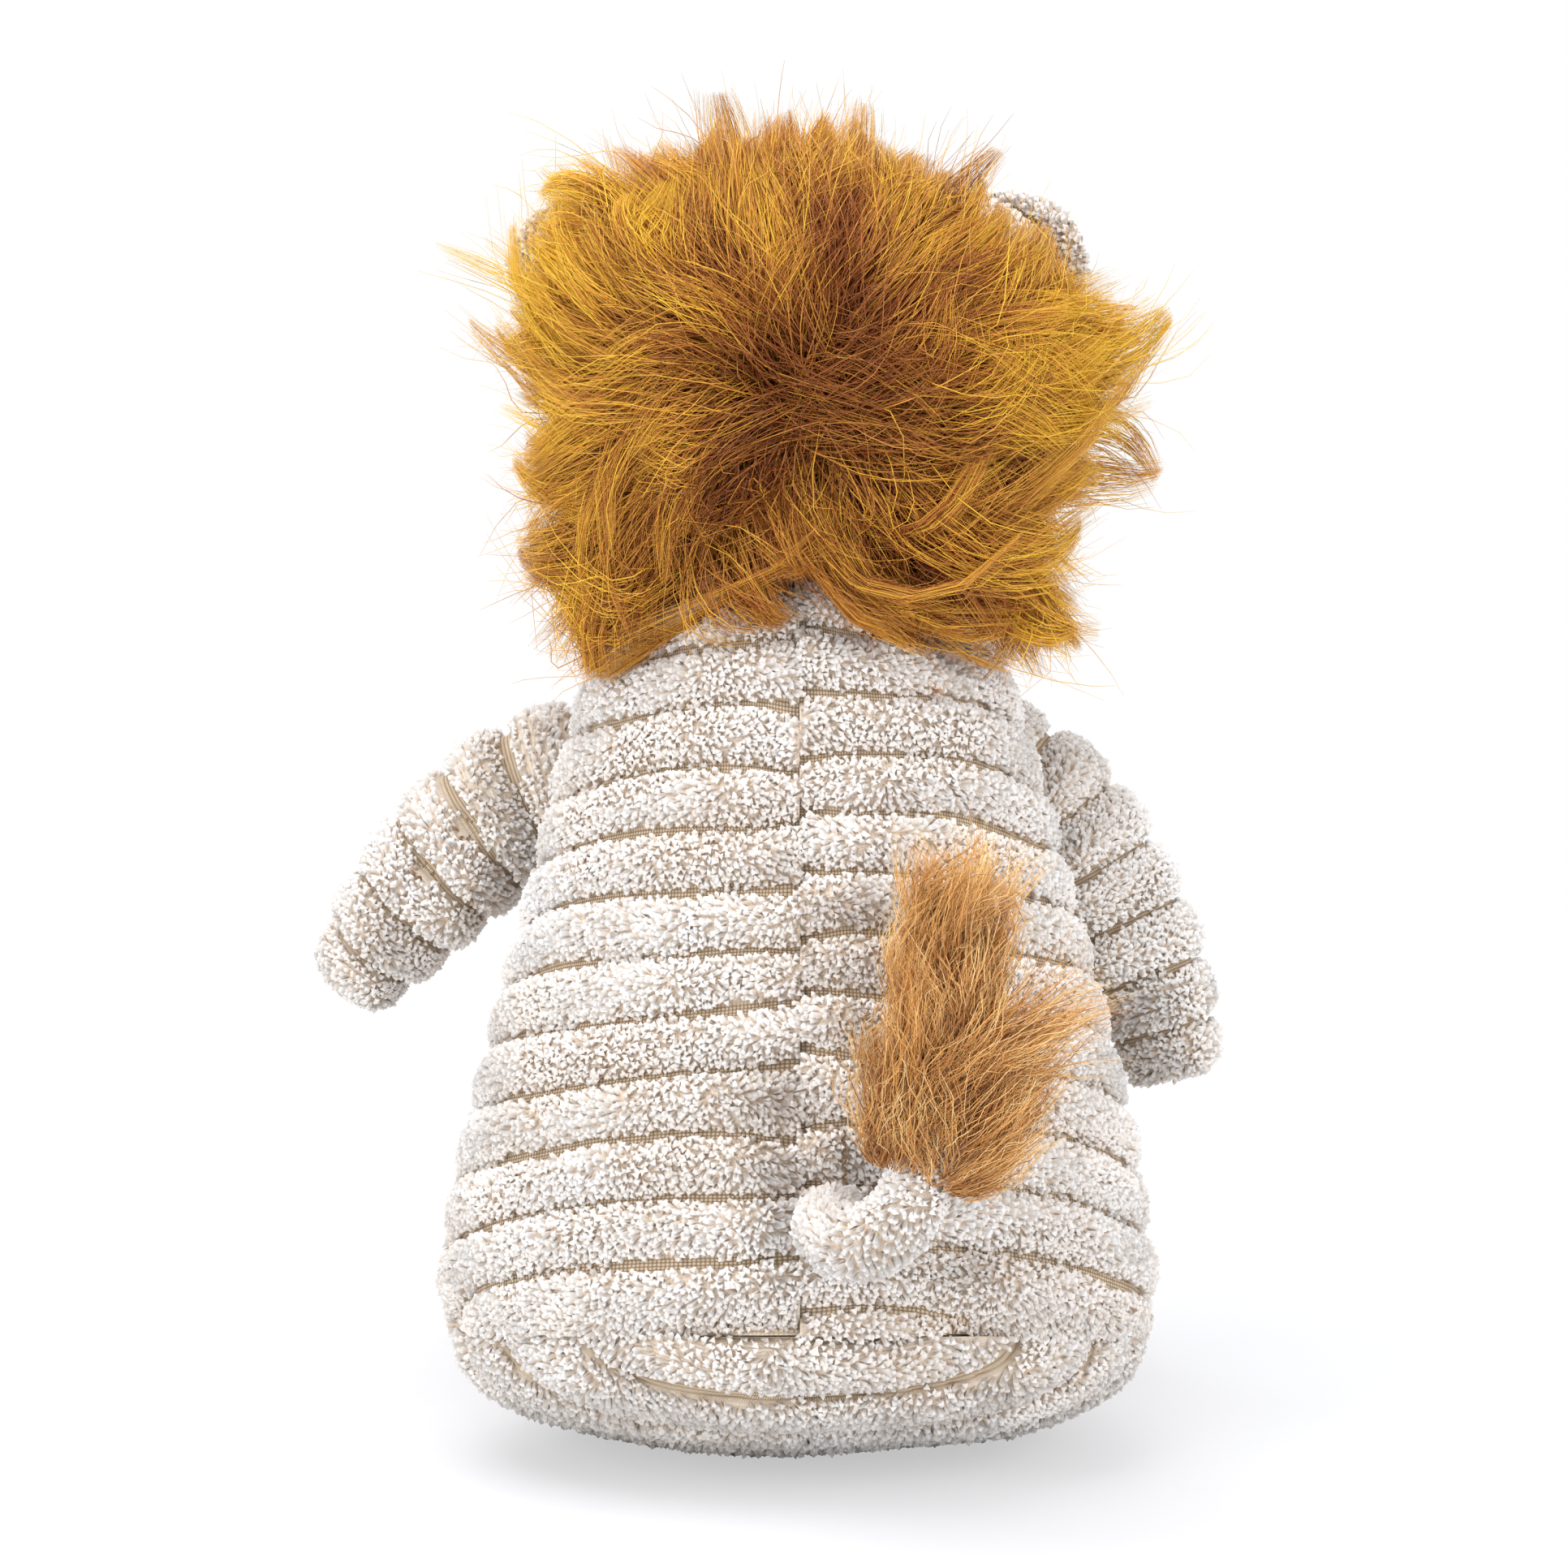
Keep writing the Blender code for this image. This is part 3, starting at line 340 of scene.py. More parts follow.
def plush_cord(name, chart, u_span, v_span, wales, facing, body, node, cells, seed, pinches=(), hem=None):
    """One panel of cord: the ribbed backing and, on it, tufts that fan out over each wale."""
    u, v, quads = grid_of(u_span, v_span, cells, facing)
    here, out, across = bearings(chart, u, v, facing)
    place = wales(u, v)
    rise = wale_rise(place)
    points = lifted(here + out * (rise * (CORD_DEPTH - CORD_CROWN) - CORD_DEPTH)[:, None], BACKING_LIFT)
    uv = np.stack([(at - low) / (high - low) for at, (low, high) in ((u, u_span), (v, v_span))], 1)
    backing = sewn_mesh(name, points, quads, backing_weave, uv)
    threads = backing.data.attributes.new("threads", "FLOAT_VECTOR", "POINT")
    girth = np.linalg.norm(here - here.mean(0), axis=1).mean()
    run = np.stack([u * girth, place, rise], 1)
    threads.data.foreach_set("vector", np.ascontiguousarray(run, np.float32).ravel())

    dice = np.random.default_rng(seed)
    u, v = strew(chart, u_span, v_span, PILE_GAP, dice)
    here, out, across = bearings(chart, u, v, facing)
    place = wales(u, v)
    side = wale_side(place)
    keep = np.abs(side) < PILE_SHARE + ripple(here, 0.035, seed + 1) * WALE_WANDER
    stitched = [chart(np.array(turn), np.array(spot)) for turn, spot in pinches]
    for stitch in stitched:
        keep |= np.linalg.norm(here - stitch, axis=1) < PINCH_KEPT
    if hem:
        keep |= hem(u, v)
    here, out, across, side, place = here[keep], out[keep], across[keep], side[keep], place[keep]
    count = len(here)
    along = np.cross(out, across)
    lay = PILE_LAY * ripple(here, 0.030, seed + 2) + dice.normal(0, 0.35, count)
    lean_across = side * PILE_FAN - PILE_COMB * np.cos(lay) * (1 - side**2)
    lean_across = lean_across + dice.normal(0, PILE_STRAY, count)
    lean_along = (0.75 - 0.4 * side**2) * np.sin(lay) + dice.normal(0, PILE_STRAY, count)
    ways = unit(out * PILE_RISE + across * lean_across[:, None] + along * lean_along[:, None])
    sunk = wale_rise(place) * (CORD_DEPTH - CORD_CROWN) - CORD_DEPTH - ROOT_SINK
    roots = here + out * sunk[:, None]
    lengths = PILE_LENGTH * (1 - 0.45 * side**2) * dice.uniform(0.8, 1.2, count)
    widths = PILE_WIDTH * dice.uniform(0.75, 1.2, count)
    # Tones drop towards the grooves: painted shade down in them, together with the pile's tan tips there.
    tones = PILE_TONE + 0.16 * ripple(here, 0.045, seed + 3) - 0.3 * np.abs(side) ** 4
    tones = tones + dice.normal(0, 0.15, count)
    for stitch in stitched:
        away = here - stitch
        near = bell(np.linalg.norm(away, axis=1) / PINCH_REACH)
        ways = unit(ways + unit(away) * near[:, None] * PINCH_PULL)
        lengths *= 1 - PINCH_SHORT * near
        widths *= 1 - PINCH_SHORT * near
        # The pile darkens round each stitch: painted shade in the pucker.
        tones -= PINCH_PAINTED_SHADE * near**2.5
    tones = np.clip(tones, *TONE_SPAN)
    pieces = [backing]
    for i, part in enumerate(np.array_split(np.arange(count), count // PILE_MOST + 1)):
        pile = roots[part], ways[part], lengths[part], widths[part], tones[part]
        pieces.append(tufts("%s_pile_%d" % (name, i + 1), *pile, cord_pile, dice))
    fasten(pieces, body, "cord", node)


def finish_of(name, roughness, sheen=0.0, shine=0.25):
    """A new material with its node tree and its Principled shader."""
    mat = bpy.data.materials.new(name)
    mat.use_nodes = True
    shader = mat.node_tree.nodes["Principled BSDF"]
    for place, value in (("Roughness", roughness), ("Sheen Weight", sheen), ("Specular IOR Level", shine)):
        shader.inputs[place].default_value = value
    return mat, mat.node_tree, shader


def ramp_of(tree, stops, source):
    ramp = wired(tree, "ValToRGB", {"Fac": source})
    while len(ramp.color_ramp.elements) < len(stops):
        ramp.color_ramp.elements.new(0.5)
    for element, (place, colour) in zip(ramp.color_ramp.elements, stops):
        element.position = place
        element.color = (*colour, 1)
    return ramp.outputs["Color"]


def pile_finish(name, root_stops, tip_stops, roughness, sheen, turn=0.45, shine=0.25):
    """Pile or fur whose colour goes from its root's to its tip's, each read by the fibre's tone."""
    mat, tree, shader = finish_of(name, roughness, sheen, shine)
    where = wired(tree, "UVMap", uv_map="OFBake")
    parts = wired(tree, "SeparateXYZ", {0: where}).outputs
    climb = eased(tree, parts["Y"], turn - PILE_BLEND, turn + PILE_BLEND)
    tones = [ramp_of(tree, stops, parts["X"]) for stops in (root_stops, tip_stops)]
    blend = wired(tree, "Mix", {"Factor": climb, "A": tones[0], "B": tones[1]}, data_type="RGBA")
    tree.links.new(blend.outputs["Result"], shader.inputs["Base Color"])
    return mat


# The pile's roots are darker tan than its cream tips: painted shade down between the tufts.
cord_pile = pile_finish(
    "cream_cord_pile",
    ((0.0, (0.26, 0.13, 0.07)), (0.3, (0.84, 0.64, 0.46)), (1.0, (0.92, 0.79, 0.66))),
    ((0.0, (0.32, 0.19, 0.11)), (0.22, (0.82, 0.74, 0.67)), (1.0, (0.94, 0.92, 0.91))),
    roughness=0.9,
    sheen=0.15,
    turn=0.4,
)
backing_weave, tree, shader = finish_of("tan_backing_weave", 0.95)
where = wired(tree, "Attribute", attribute_name="threads").outputs["Vector"]
yarn = {"Vector": where, "Scale": THREAD_SCALE, "Distortion": 0.6, "Detail": 1}
warp = wired(tree, "TexWave", yarn, bands_direction="X").outputs["Fac"]
weft = wired(tree, "TexWave", yarn, bands_direction="Y").outputs["Fac"]
knots = wired(tree, "Math", {0: warp, 1: weft}, operation="MULTIPLY").outputs[0]
weave_stops = ((0.0, (0.30, 0.21, 0.13)), (0.2, (0.66, 0.52, 0.37)), (1.0, (0.88, 0.79, 0.65)))
weave_colour = ramp_of(tree, weave_stops, knots)
rise = wired(tree, "SeparateXYZ", {0: where}).outputs["Z"]
covered = eased(tree, rise, 0.1, 0.6, "LINEAR")
pile_ground = (0.78, 0.67, 0.56, 1)
ground = wired(tree, "Mix", {"Factor": covered, "A": weave_colour, "B": pile_ground}, data_type="RGBA")
bump = wired(tree, "Bump", {"Strength": 0.6, "Distance": 0.0004, "Height": knots})
tree.links.new(ground.outputs["Result"], shader.inputs["Base Color"])
tree.links.new(bump.outputs["Normal"], shader.inputs["Normal"])


def base_spot(u, v):
    """A spot of the base seen from above; v runs from front to back and u from side to side."""
    x = BODY_HALF_WIDTH * BASE_SHARE * np.cos(v) * np.sin(u)
    return x, BODY_HALF_DEPTH * BASE_SHARE * np.sin(v)


def dome_depth(x, y):
    """How deep under the seam the base hangs."""
    out = np.clip(np.hypot(x / (BODY_HALF_WIDTH * BASE_SHARE), y / (BODY_HALF_DEPTH * BASE_SHARE)), 0, 1)
    return BASE_DEPTH * (1 - out**BASE_FULLNESS) ** (1 / BASE_FULLNESS)


def base_chart(u, v):
    x, y = base_spot(u, v)
    z = -dome_depth(x, y)
    here = np.stack([x, y, z], -1)
    here[..., 2] += BASE_UNEVENNESS * ripple(here, 0.05, 11) * z / BASE_DEPTH
    return lifted(stand(here), FLOOR_LIFT)


def base_wales(u, v):
    """Across the base's wales: level lines that bend up at their ends, then one last wale up to the seam."""
    x, y = base_spot(u, v)
    groove = BASE_GROOVE - BASE_SMILE * x**2
    level = (y - groove) * BASE_WALE_SHARE + 0.0005 * np.sin(x * 90)
    climb = np.clip(1 - dome_depth(x, y) / np.maximum(dome_depth(x, groove), 0.001), 0, 1)
    tucked = 0.95 - 0.3 * np.clip((np.abs(x) - 0.022) / 0.014, 0, 1)
    return np.where(level > 0, WALE_PITCH * tucked * climb, level)


def base_hem(u, v):
    """The narrow strip under the seam, where the pile is caught from both sides and closes over it."""
    return dome_depth(*base_spot(u, v)) < HEM


spans = (-1.57, 1.57), (-1.57, 1.57)
cells = (110, 90)
plush_cord("base_cloth", base_chart, *spans, base_wales, -1, "body", "base_panel", cells, 100, hem=base_hem)


# Body: three panels of the same cord make a pear, sewn down the middle of the back and at each
# side. The wales run round it, droop towards the sides and don't quite meet at the back seam.
BODY_HEIGHT = 0.190
NECK_CLOSE = 0.0075
BODY_SHARES = (
    (0.00, 0.975), (0.05, 1.000), (0.15, 0.975), (0.26, 0.935), (0.42, 0.850), (0.58, 0.755),
    (0.70, 0.690), (0.82, 0.620), (0.92, 0.550), (1.00, 0.460), (1.04, 0.340),
)
BODY_UNEVENNESS = 0.0009
CLEFT_DEPTH = 0.0026
CLEFT_WIDTH = 0.008
SIDE_SEAM = math.radians(95)
LOWEST_WALE_LIFT = 0.0045


def shaped(table, places):
    """A smooth value from a table of (place, share) pairs at every place of an array."""
    xs, ys = np.array(table).T
    slopes = np.gradient(ys, xs)
    p = np.clip(places, xs[0], xs[-1])
    i = np.clip(np.searchsorted(xs, p) - 1, 0, len(xs) - 2)
    span = xs[i + 1] - xs[i]
    t = (p - xs[i]) / span
    return (
        (2 * t**3 - 3 * t**2 + 1) * ys[i]
        + (t**3 - 2 * t**2 + t) * span * slopes[i]
        + (3 * t**2 - 2 * t**3) * ys[i + 1]
        + (t**3 - t**2) * span * slopes[i + 1]
    )


def pear_chart(u, v):
    """The pear above the seam; u turns from the middle of the back towards the lion's left, v is height."""
    share = shaped(BODY_SHARES, v / BODY_HEIGHT)
    across = BODY_HALF_WIDTH * share * np.sin(u)
    deep = BODY_HALF_DEPTH * share * np.cos(u)
    cleft = CLEFT_DEPTH * bell(across / CLEFT_WIDTH) * np.clip(np.cos(u) * 4, 0, 1)
    here = np.stack([across, deep - cleft, v], -1)
    bulge = BODY_UNEVENNESS * (1 + ripple(here, 0.055, 21))
    flat = unit(here * np.array((1, 1.4, 0)))
    return stand(here + flat * bulge[..., None])


def wales_of(shift, droop_low, droop_high):
    """How a panel's wales lie: shifted up by how it was cut, and lower at the sides by its droops."""

    def wales(u, v):
        droop = droop_low + (droop_high - droop_low) * np.clip(v / BODY_HEIGHT, 0, 1)
        pinch = 0.0016 * bell(u / 0.12) * np.cos(v * 130)
        sway = 0.0007 * np.sin(u * 5 + v * 60)
        near_seam = np.exp(-v / 0.006) * np.clip((u / 0.42) ** 2, 0, 1.5) * (np.cos(u) > 0)
        return v + droop * (1 - np.abs(np.cos(u))) - shift + pinch + sway + LOWEST_WALE_LIFT * near_seam

    return wales


def body_hem(u, v):
    return v < HEM


heights = (0.0, BODY_HEIGHT + NECK_CLOSE)
for name, node, sides, lie, cols, seed in (
    ("back_left_cloth", "back_panel_left", (0.0, SIDE_SEAM), (0.0037, 0.0125, 0.004), 60, 200),
    ("back_right_cloth", "back_panel_right", (-SIDE_SEAM, 0.0), (0.0073, 0.0145, 0.005), 60, 300),
    ("belly_cloth", "belly_panel", (SIDE_SEAM, math.tau - SIDE_SEAM), (0.0073, 0.0125, 0.004), 110, 400),
):
    wales = wales_of(*lie)
    plush_cord(name, pear_chart, sides, heights, wales, -1, "body", node, (140, cols), seed, hem=body_hem)


# Closing seam: the gap that the body was stuffed through, drawn shut by hand beside the tail with
# brown thread that sinks in the pile.
CLOSING_SPOT = (-0.128, 0.041)
CLOSING_REACH = 0.0075
CLOSING_SWING = 0.007
CLOSING_STITCHES = 5
CLOSING_THREAD = 0.0005
CLOSING_LIFT = 0.0022


def speckled(name, texture, scale, stops, roughness, sheen=0.0, shine=0.25):
    """A plain finish whose colour wanders between its tones with a fine texture."""
    mat, tree, shader = finish_of(name, roughness, sheen, shine)
    grain = wired(tree, texture, {"Scale": scale})
    tree.links.new(ramp_of(tree, stops, grain.outputs[0]), shader.inputs["Base Color"])
    return mat


def hoop_faces(rows, cols):
    """The quads of a tube whose rows of points each close into a hoop."""
    i, j = np.meshgrid(np.arange(rows), np.arange(cols), indexing="ij")
    i, j = i.ravel(), j.ravel()
    k = (j + 1) % cols
    return np.stack([i * cols + j, i * cols + k, (i + 1) * cols + k, (i + 1) * cols + j], 1)


thread_stops = ((0.3, (0.10, 0.06, 0.03)), (0.7, (0.26, 0.17, 0.09)))
closing_thread = speckled("brown_closing_thread", "TexNoise", 1200, thread_stops, 0.8)
turns = np.linspace(0, CLOSING_STITCHES * math.tau, 60)
u = CLOSING_SPOT[0] + CLOSING_SWING * np.sin(turns)
v = CLOSING_SPOT[1] + CLOSING_REACH * np.linspace(-1, 1, 60)
here, out, across = bearings(pear_chart, u, v, -1)
line = here + out * CLOSING_LIFT
hoops = []
for k in range(5):
    turn = math.tau * k / 5
    hoops.append(line + (out * math.cos(turn) + across * math.sin(turn)) * CLOSING_THREAD)
points = np.stack(hoops, 1).reshape(-1, 3)
closing = sewn_mesh("closing_stitches", points, hoop_faces(59, 5), closing_thread)
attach(closing, "body")


# Arms: tubes of cord with the wales across them, stuffed lightly and sewn into the armholes.
# The left one is bent up and drawn in by two stitches, and the right one hangs.
SHOULDER_HEIGHT = 0.141
SHOULDER_ANGLE = math.radians(45)
SHOULDER_STANDOFF = 0.0115
ARM_RADIUS = 0.0195
ARM_FLATNESS = 0.84
ARM_SHARES = ((0.0, 1.0), (0.25, 1.02), (0.5, 0.98), (0.75, 0.93), (1.0, 0.90))
ARM_LEFT_SHARES = ((0.0, 1.0), (0.25, 1.02), (0.5, 0.97), (0.75, 0.88), (1.0, 0.78))
ARM_LEFT_PINCHES = ((1.5, 0.037), (1.5, 0.052))
ARM_LEFT_ENDS = ((0.45, 0.1, 0.0), (0.80, 0.45, 0.65), (1, 1, 1))
ARM_RIGHT_ENDS = ((0.46, 0.1, 0.10), (0.82, 0.6, 0.64), (1, 1, 1))
PINCH_DEPTH = 0.0022
PINCH_WIDTH = 0.0055
LIMB_WALE_START = WALE_PITCH * 0.45
ROUND = (0.0, math.tau)
TIP_SHARE = 1 - 1e-9


def wrapped(turn):
    """The same turn, between half a turn back and half a turn on."""
    return np.angle(np.exp(1j * turn))


def limb_line(points):
    """A limb's middle line: how far along its samples are, and their points and ways."""
    t = np.linspace(0, 1, 61)[:, None]
    a, b, c, d = (np.array(p, float) for p in points)
    line = a * (1 - t) ** 3 + b * (3 * t * (1 - t) ** 2) + c * (3 * t * t * (1 - t)) + d * t**3
    return run_of(line), line, unit(np.gradient(line, axis=0))


def along_line(line, place):
    """The point and the way of a limb's middle line at each place along it."""
    reach, middles, ways = line
    middle = np.stack([np.interp(place, reach, middles[:, k]) for k in range(3)], -1)
    way = np.stack([np.interp(place, reach, ways[:, k]) for k in range(3)], -1)
    return middle, unit(way)


def limb_chart(line, root, hinge, radius, shares, flatness, rounded, in_toy, pinches=()):
    """A limb's outside; u turns round it and v runs along it from its ball root to just short of its tip."""
    length = line[0][-1]
    hinge = np.array(hinge, float)

    def chart(u, v):
        place = np.clip(v, 0, length)
        middle, way = along_line(line, place)
        middle = middle + way * (v - place)[..., None]
        side = unit(hinge - way * (way @ hinge)[..., None])
        up = np.cross(way, side)
        ball = np.sqrt(np.clip((radius * shares[0][1]) ** 2 - np.minimum(v, 0) ** 2, 0, None))
        tip = (1 - np.clip(v / length, 0, 1) ** 4) ** 0.25 if rounded else 1.0
        size = np.where(v < 0, ball, radius * shaped(shares, v / length) * tip)
        for turn, spot in pinches:
            apart = np.hypot(wrapped(u - turn) * radius, v - spot)
            size = size - PINCH_DEPTH * bell(apart / PINCH_WIDTH)
        here = middle + up * (size * np.cos(u))[..., None] + side * (size * flatness * np.sin(u))[..., None]
        here = here + root
        return stand(here) if in_toy else here

    return chart


def edge_spot(share, across, ahead, standoff):
    """A spot outside the body's edge, at a share of its full size and a way across and ahead of it."""
    x, y = BODY_HALF_WIDTH * share * across, -BODY_HALF_DEPTH * share * ahead
    away = unit(np.array((x / BODY_HALF_WIDTH**2, y / BODY_HALF_DEPTH**2)))
    return x + away[0] * standoff, y + away[1] * standoff


def arm_wales(u, v):
    return v + 0.0012 * np.sin(u + 1) - LIMB_WALE_START


shoulder_share = float(shaped(BODY_SHARES, np.array(SHOULDER_HEIGHT / BODY_HEIGHT)))
for side, sign, (reach, forward, drop), ends, shares, pinches, seed in (
    ("left", 1, (0.069, 0.026, 0.053), ARM_LEFT_ENDS, ARM_LEFT_SHARES, ARM_LEFT_PINCHES, 550),
    ("right", -1, (0.049, 0.012, 0.077), ARM_RIGHT_ENDS, ARM_SHARES, (), 500),
):
    line = limb_line([(0, 0, 0)] + [(sign * reach * a, -forward * b, -drop * c) for a, b, c in ends])
    across, ahead = sign * math.cos(SHOULDER_ANGLE), math.sin(SHOULDER_ANGLE)
    shoulder = edge_spot(shoulder_share, across, ahead, SHOULDER_STANDOFF)
    root = np.array((*shoulder, SHOULDER_HEIGHT))
    arm = limb_chart(line, root, (0, 1, 0), ARM_RADIUS, shares, ARM_FLATNESS, True, True, pinches)
    name, body, node = "arm_%s_cloth" % side, "arm_" + side, "arm_%s_skin" % side
    spans = ROUND, (-ARM_RADIUS * 0.97, line[0][-1] * TIP_SHARE)
    plush_cord(name, arm, *spans, arm_wales, -1, body, node, (64, 44), seed, pinches)


# Legs: short stuffed tubes of cord that lie on the floor in front, closed by round plush soles
# that are crowned by the filling and sewn in round their edges.
HIP_TURN = math.radians(33)
HIP_STANDOFF = 0.011
LEG_RADIUS = 0.0195
LEG_LENGTH = 0.066
LEG_SHARES = ((0.0, 0.96), (0.35, 1.03), (0.7, 1.12), (1.0, 1.10))
LEG_SINK = 0.0005
SOLE_CROWN = 0.006
SOLE_LIFT = 0.001
NAP_GAP = 0.0011
NAP_LENGTH = 0.0016

tan_plush = pile_finish(
    "tan_short_plush",
    ((0.0, (0.24, 0.13, 0.06)), (1.0, (0.42, 0.27, 0.15))),
    ((0.0, (0.46, 0.28, 0.14)), (1.0, (0.72, 0.51, 0.31))),
    roughness=0.85,
    sheen=0.3,
)


def short_plush(name, chart, u_span, v_span, body, node, slot, cells, seed):
    """A panel of short even plush: its backing and a close nap of fine tufts."""
    u, v, quads = grid_of(u_span, v_span, cells, 1)
    here, out, across = bearings(chart, u, v, 1)
    uv = np.tile((0.35, 0.3), (len(u), 1))
    backing = sewn_mesh(name, here - out * NAP_LENGTH * 0.5, quads, tan_plush, uv)
    dice = np.random.default_rng(seed)
    u, v = strew(chart, u_span, v_span, NAP_GAP, dice)
    here, out, across = bearings(chart, u, v, 1)
    count = len(here)
    ways = unit(out + dice.normal(0, 0.28, (count, 3)) + across * 0.35)
    tones = np.clip(0.5 + 0.2 * ripple(here, 0.02, seed) + dice.normal(0, 0.16, count), *TONE_SPAN)
    lengths = NAP_LENGTH * dice.uniform(0.8, 1.25, count)
    widths = NAP_GAP * dice.uniform(0.8, 1.15, count)
    nap = tufts(name + "_nap", here - out * NAP_LENGTH * 0.55, ways, lengths, widths, tones, tan_plush, dice)
    fasten([backing, nap], body, slot, node)


def leg_wales(u, v):
    return v - LIMB_WALE_START


hip_x, hip_y = edge_spot(BASE_SHARE, math.sin(HIP_TURN), math.cos(HIP_TURN), HIP_STANDOFF)
hip_y = hip_y * math.cos(LEAN) + TOY_PLACE[1]
for side, sign, splay, seed in (("left", 1, math.radians(17), 650), ("right", -1, math.radians(8), 600)):
    turn = sign * splay
    ahead = np.array((math.sin(turn), -math.cos(turn), 0))
    hinge = np.array((math.cos(turn), math.sin(turn), 0))
    swell = LEG_RADIUS * (LEG_SHARES[-1][1] - 1)
    end = ahead * LEG_LENGTH + np.array((0, 0, swell))
    line = limb_line(((0, 0, 0), end / 3, end * 2 / 3, end))
    root = np.array((sign * hip_x, hip_y, LEG_RADIUS - LEG_SINK))
    round_leg = limb_chart(line, root, hinge, LEG_RADIUS, LEG_SHARES, 1.0, False, False)

    def leg(u, v, round_leg=round_leg):
        return lifted(round_leg(u, v), FLOOR_LIFT)

    name, body, node = "leg_%s_cloth" % side, "leg_" + side, "leg_%s_skin" % side
    spans = ROUND, (-LEG_RADIUS * 0.92, line[0][-1])
    plush_cord(name, leg, *spans, leg_wales, -1, body, node, (64, 44), seed)
    sole_radius = LEG_RADIUS * LEG_SHARES[-1][1]
    sole_way = end / np.linalg.norm(end)
    sole_up = np.cross(hinge, sole_way) * -1

    def sole(u, v, middle=root + end, way=sole_way, up=sole_up, hinge=hinge):
        size = sole_radius * np.sin(v)
        crown = SOLE_CROWN * np.cos(v)
        here = middle + way * crown[..., None]
        here = here + up * (size * np.cos(u))[..., None] + hinge * (size * np.sin(u))[..., None]
        return lifted(here, SOLE_LIFT)

    spans = ROUND, (0.02, 1.57)
    short_plush("sole_%s_pad" % side, sole, *spans, body, "sole_" + side, "sole", (14, 40), 700)


# Tail stalk: a thin stuffed tube of plain pile, sewn into the back seam over the base. It stands
# out, turns to the lion's right and curls up inside the tuft.
TAIL_HEIGHT = 0.026
TAIL_SIDE = 0.008
TAIL_STANDOFF = 0.004
TAIL_RADIUS = 0.0085
TAIL_OUT = 0.026
TAIL_DIP = 0.010
TAIL_ACROSS = 0.028
TAIL_CURL = 0.072
TAIL_BACK = 0.010
TAIL_SHARES = ((0.0, 1.0), (0.48, 0.75), (1.0, 0.6))
STALK_SHARE = 0.5
tail_y = BODY_HALF_DEPTH * float(shaped(BODY_SHARES, np.array(TAIL_HEIGHT / BODY_HEIGHT))) + TAIL_STANDOFF
tail_root = np.array((-TAIL_SIDE, tail_y, TAIL_HEIGHT))
tail_turn = (-TAIL_ACROSS * 0.2, TAIL_OUT, -TAIL_DIP)
tail_rise = (-TAIL_ACROSS, TAIL_OUT * 1.15, -TAIL_DIP * 0.5)
tail_line = limb_line(((0, 0, 0), tail_turn, tail_rise, (-TAIL_ACROSS, TAIL_BACK, TAIL_CURL)))
tail_length = tail_line[0][-1]
stalk = limb_chart(tail_line, tail_root, (1, 0, 0), TAIL_RADIUS, TAIL_SHARES, 1.0, False, True)


def all_crown(u, v):
    """The wales of a piece that is cut from one wale, with no groove in it."""
    return WALE_PITCH * 0.5 + v * 0


spans = ROUND, (-TAIL_RADIUS * 0.9, tail_length * STALK_SHARE)
plush_cord("tail_stalk_cloth", stalk, *spans, all_crown, -1, "tail", "tail_stalk", (36, 24), 800)


# Tail tuft: long orange-brown fur sewn round the end of the stalk, brushed up and out of true,
# with one wisp that flies off to the right.
TUFT_FIBRES = 6500
TUFT_LOCKS = 120
TUFT_RADIUS = 0.020
TUFT_SHARES = ((0.0, 0.80), (0.12, 1.0), (0.35, 1.0), (0.6, 0.80), (0.8, 0.5), (1.0, 0.12))
TUFT_START = 0.38
TUFT_SPAN = 0.60
TUFT_FLARE = 0.5
TUFT_LENGTHS = (0.005, 0.031)
TUFT_THICKNESS = (0.00011, 0.00017)
WISP_WAY = np.array((-2.4, 0, -0.3))
FIBRE_POINTS = 7
FIBRE_TAPER = 0.85


def fur(name, courses, thick, tones, finish):
    """Fibres as thin three-sided tapers along their courses, an array of fibres by points."""
    count, points = courses.shape[:2]
    ways = unit(np.gradient(courses, axis=1))
    dice = np.random.default_rng(count)
    spin = unit(np.cross(ways, unit(dice.normal(size=(count, 1, 3)))))
    other = np.cross(ways, spin)
    climb = np.linspace(0, 1, points)
    size = thick[:, None] * (1 - climb**2 * FIBRE_TAPER)[None]
    sides = []
    for k in range(3):
        turn = math.tau * k / 3
        sides.append(courses + (spin * math.cos(turn) + other * math.sin(turn)) * size[..., None])
    mesh_points = np.stack(sides, 2).reshape(-1, 3)
    faces = (hoop_faces(points - 1, 3)[None] + (np.arange(count) * points * 3)[:, None, None]).reshape(-1, 4)
    tones = np.clip(np.broadcast_to(tones.reshape(count, -1), (count, points)), *TONE_SPAN)
    uv = np.stack([np.repeat(tones.ravel(), 3), np.tile(np.repeat(0.01 + 0.98 * climb, 3), count)], 1)
    return sewn_mesh(name, mesh_points, faces, finish, uv)


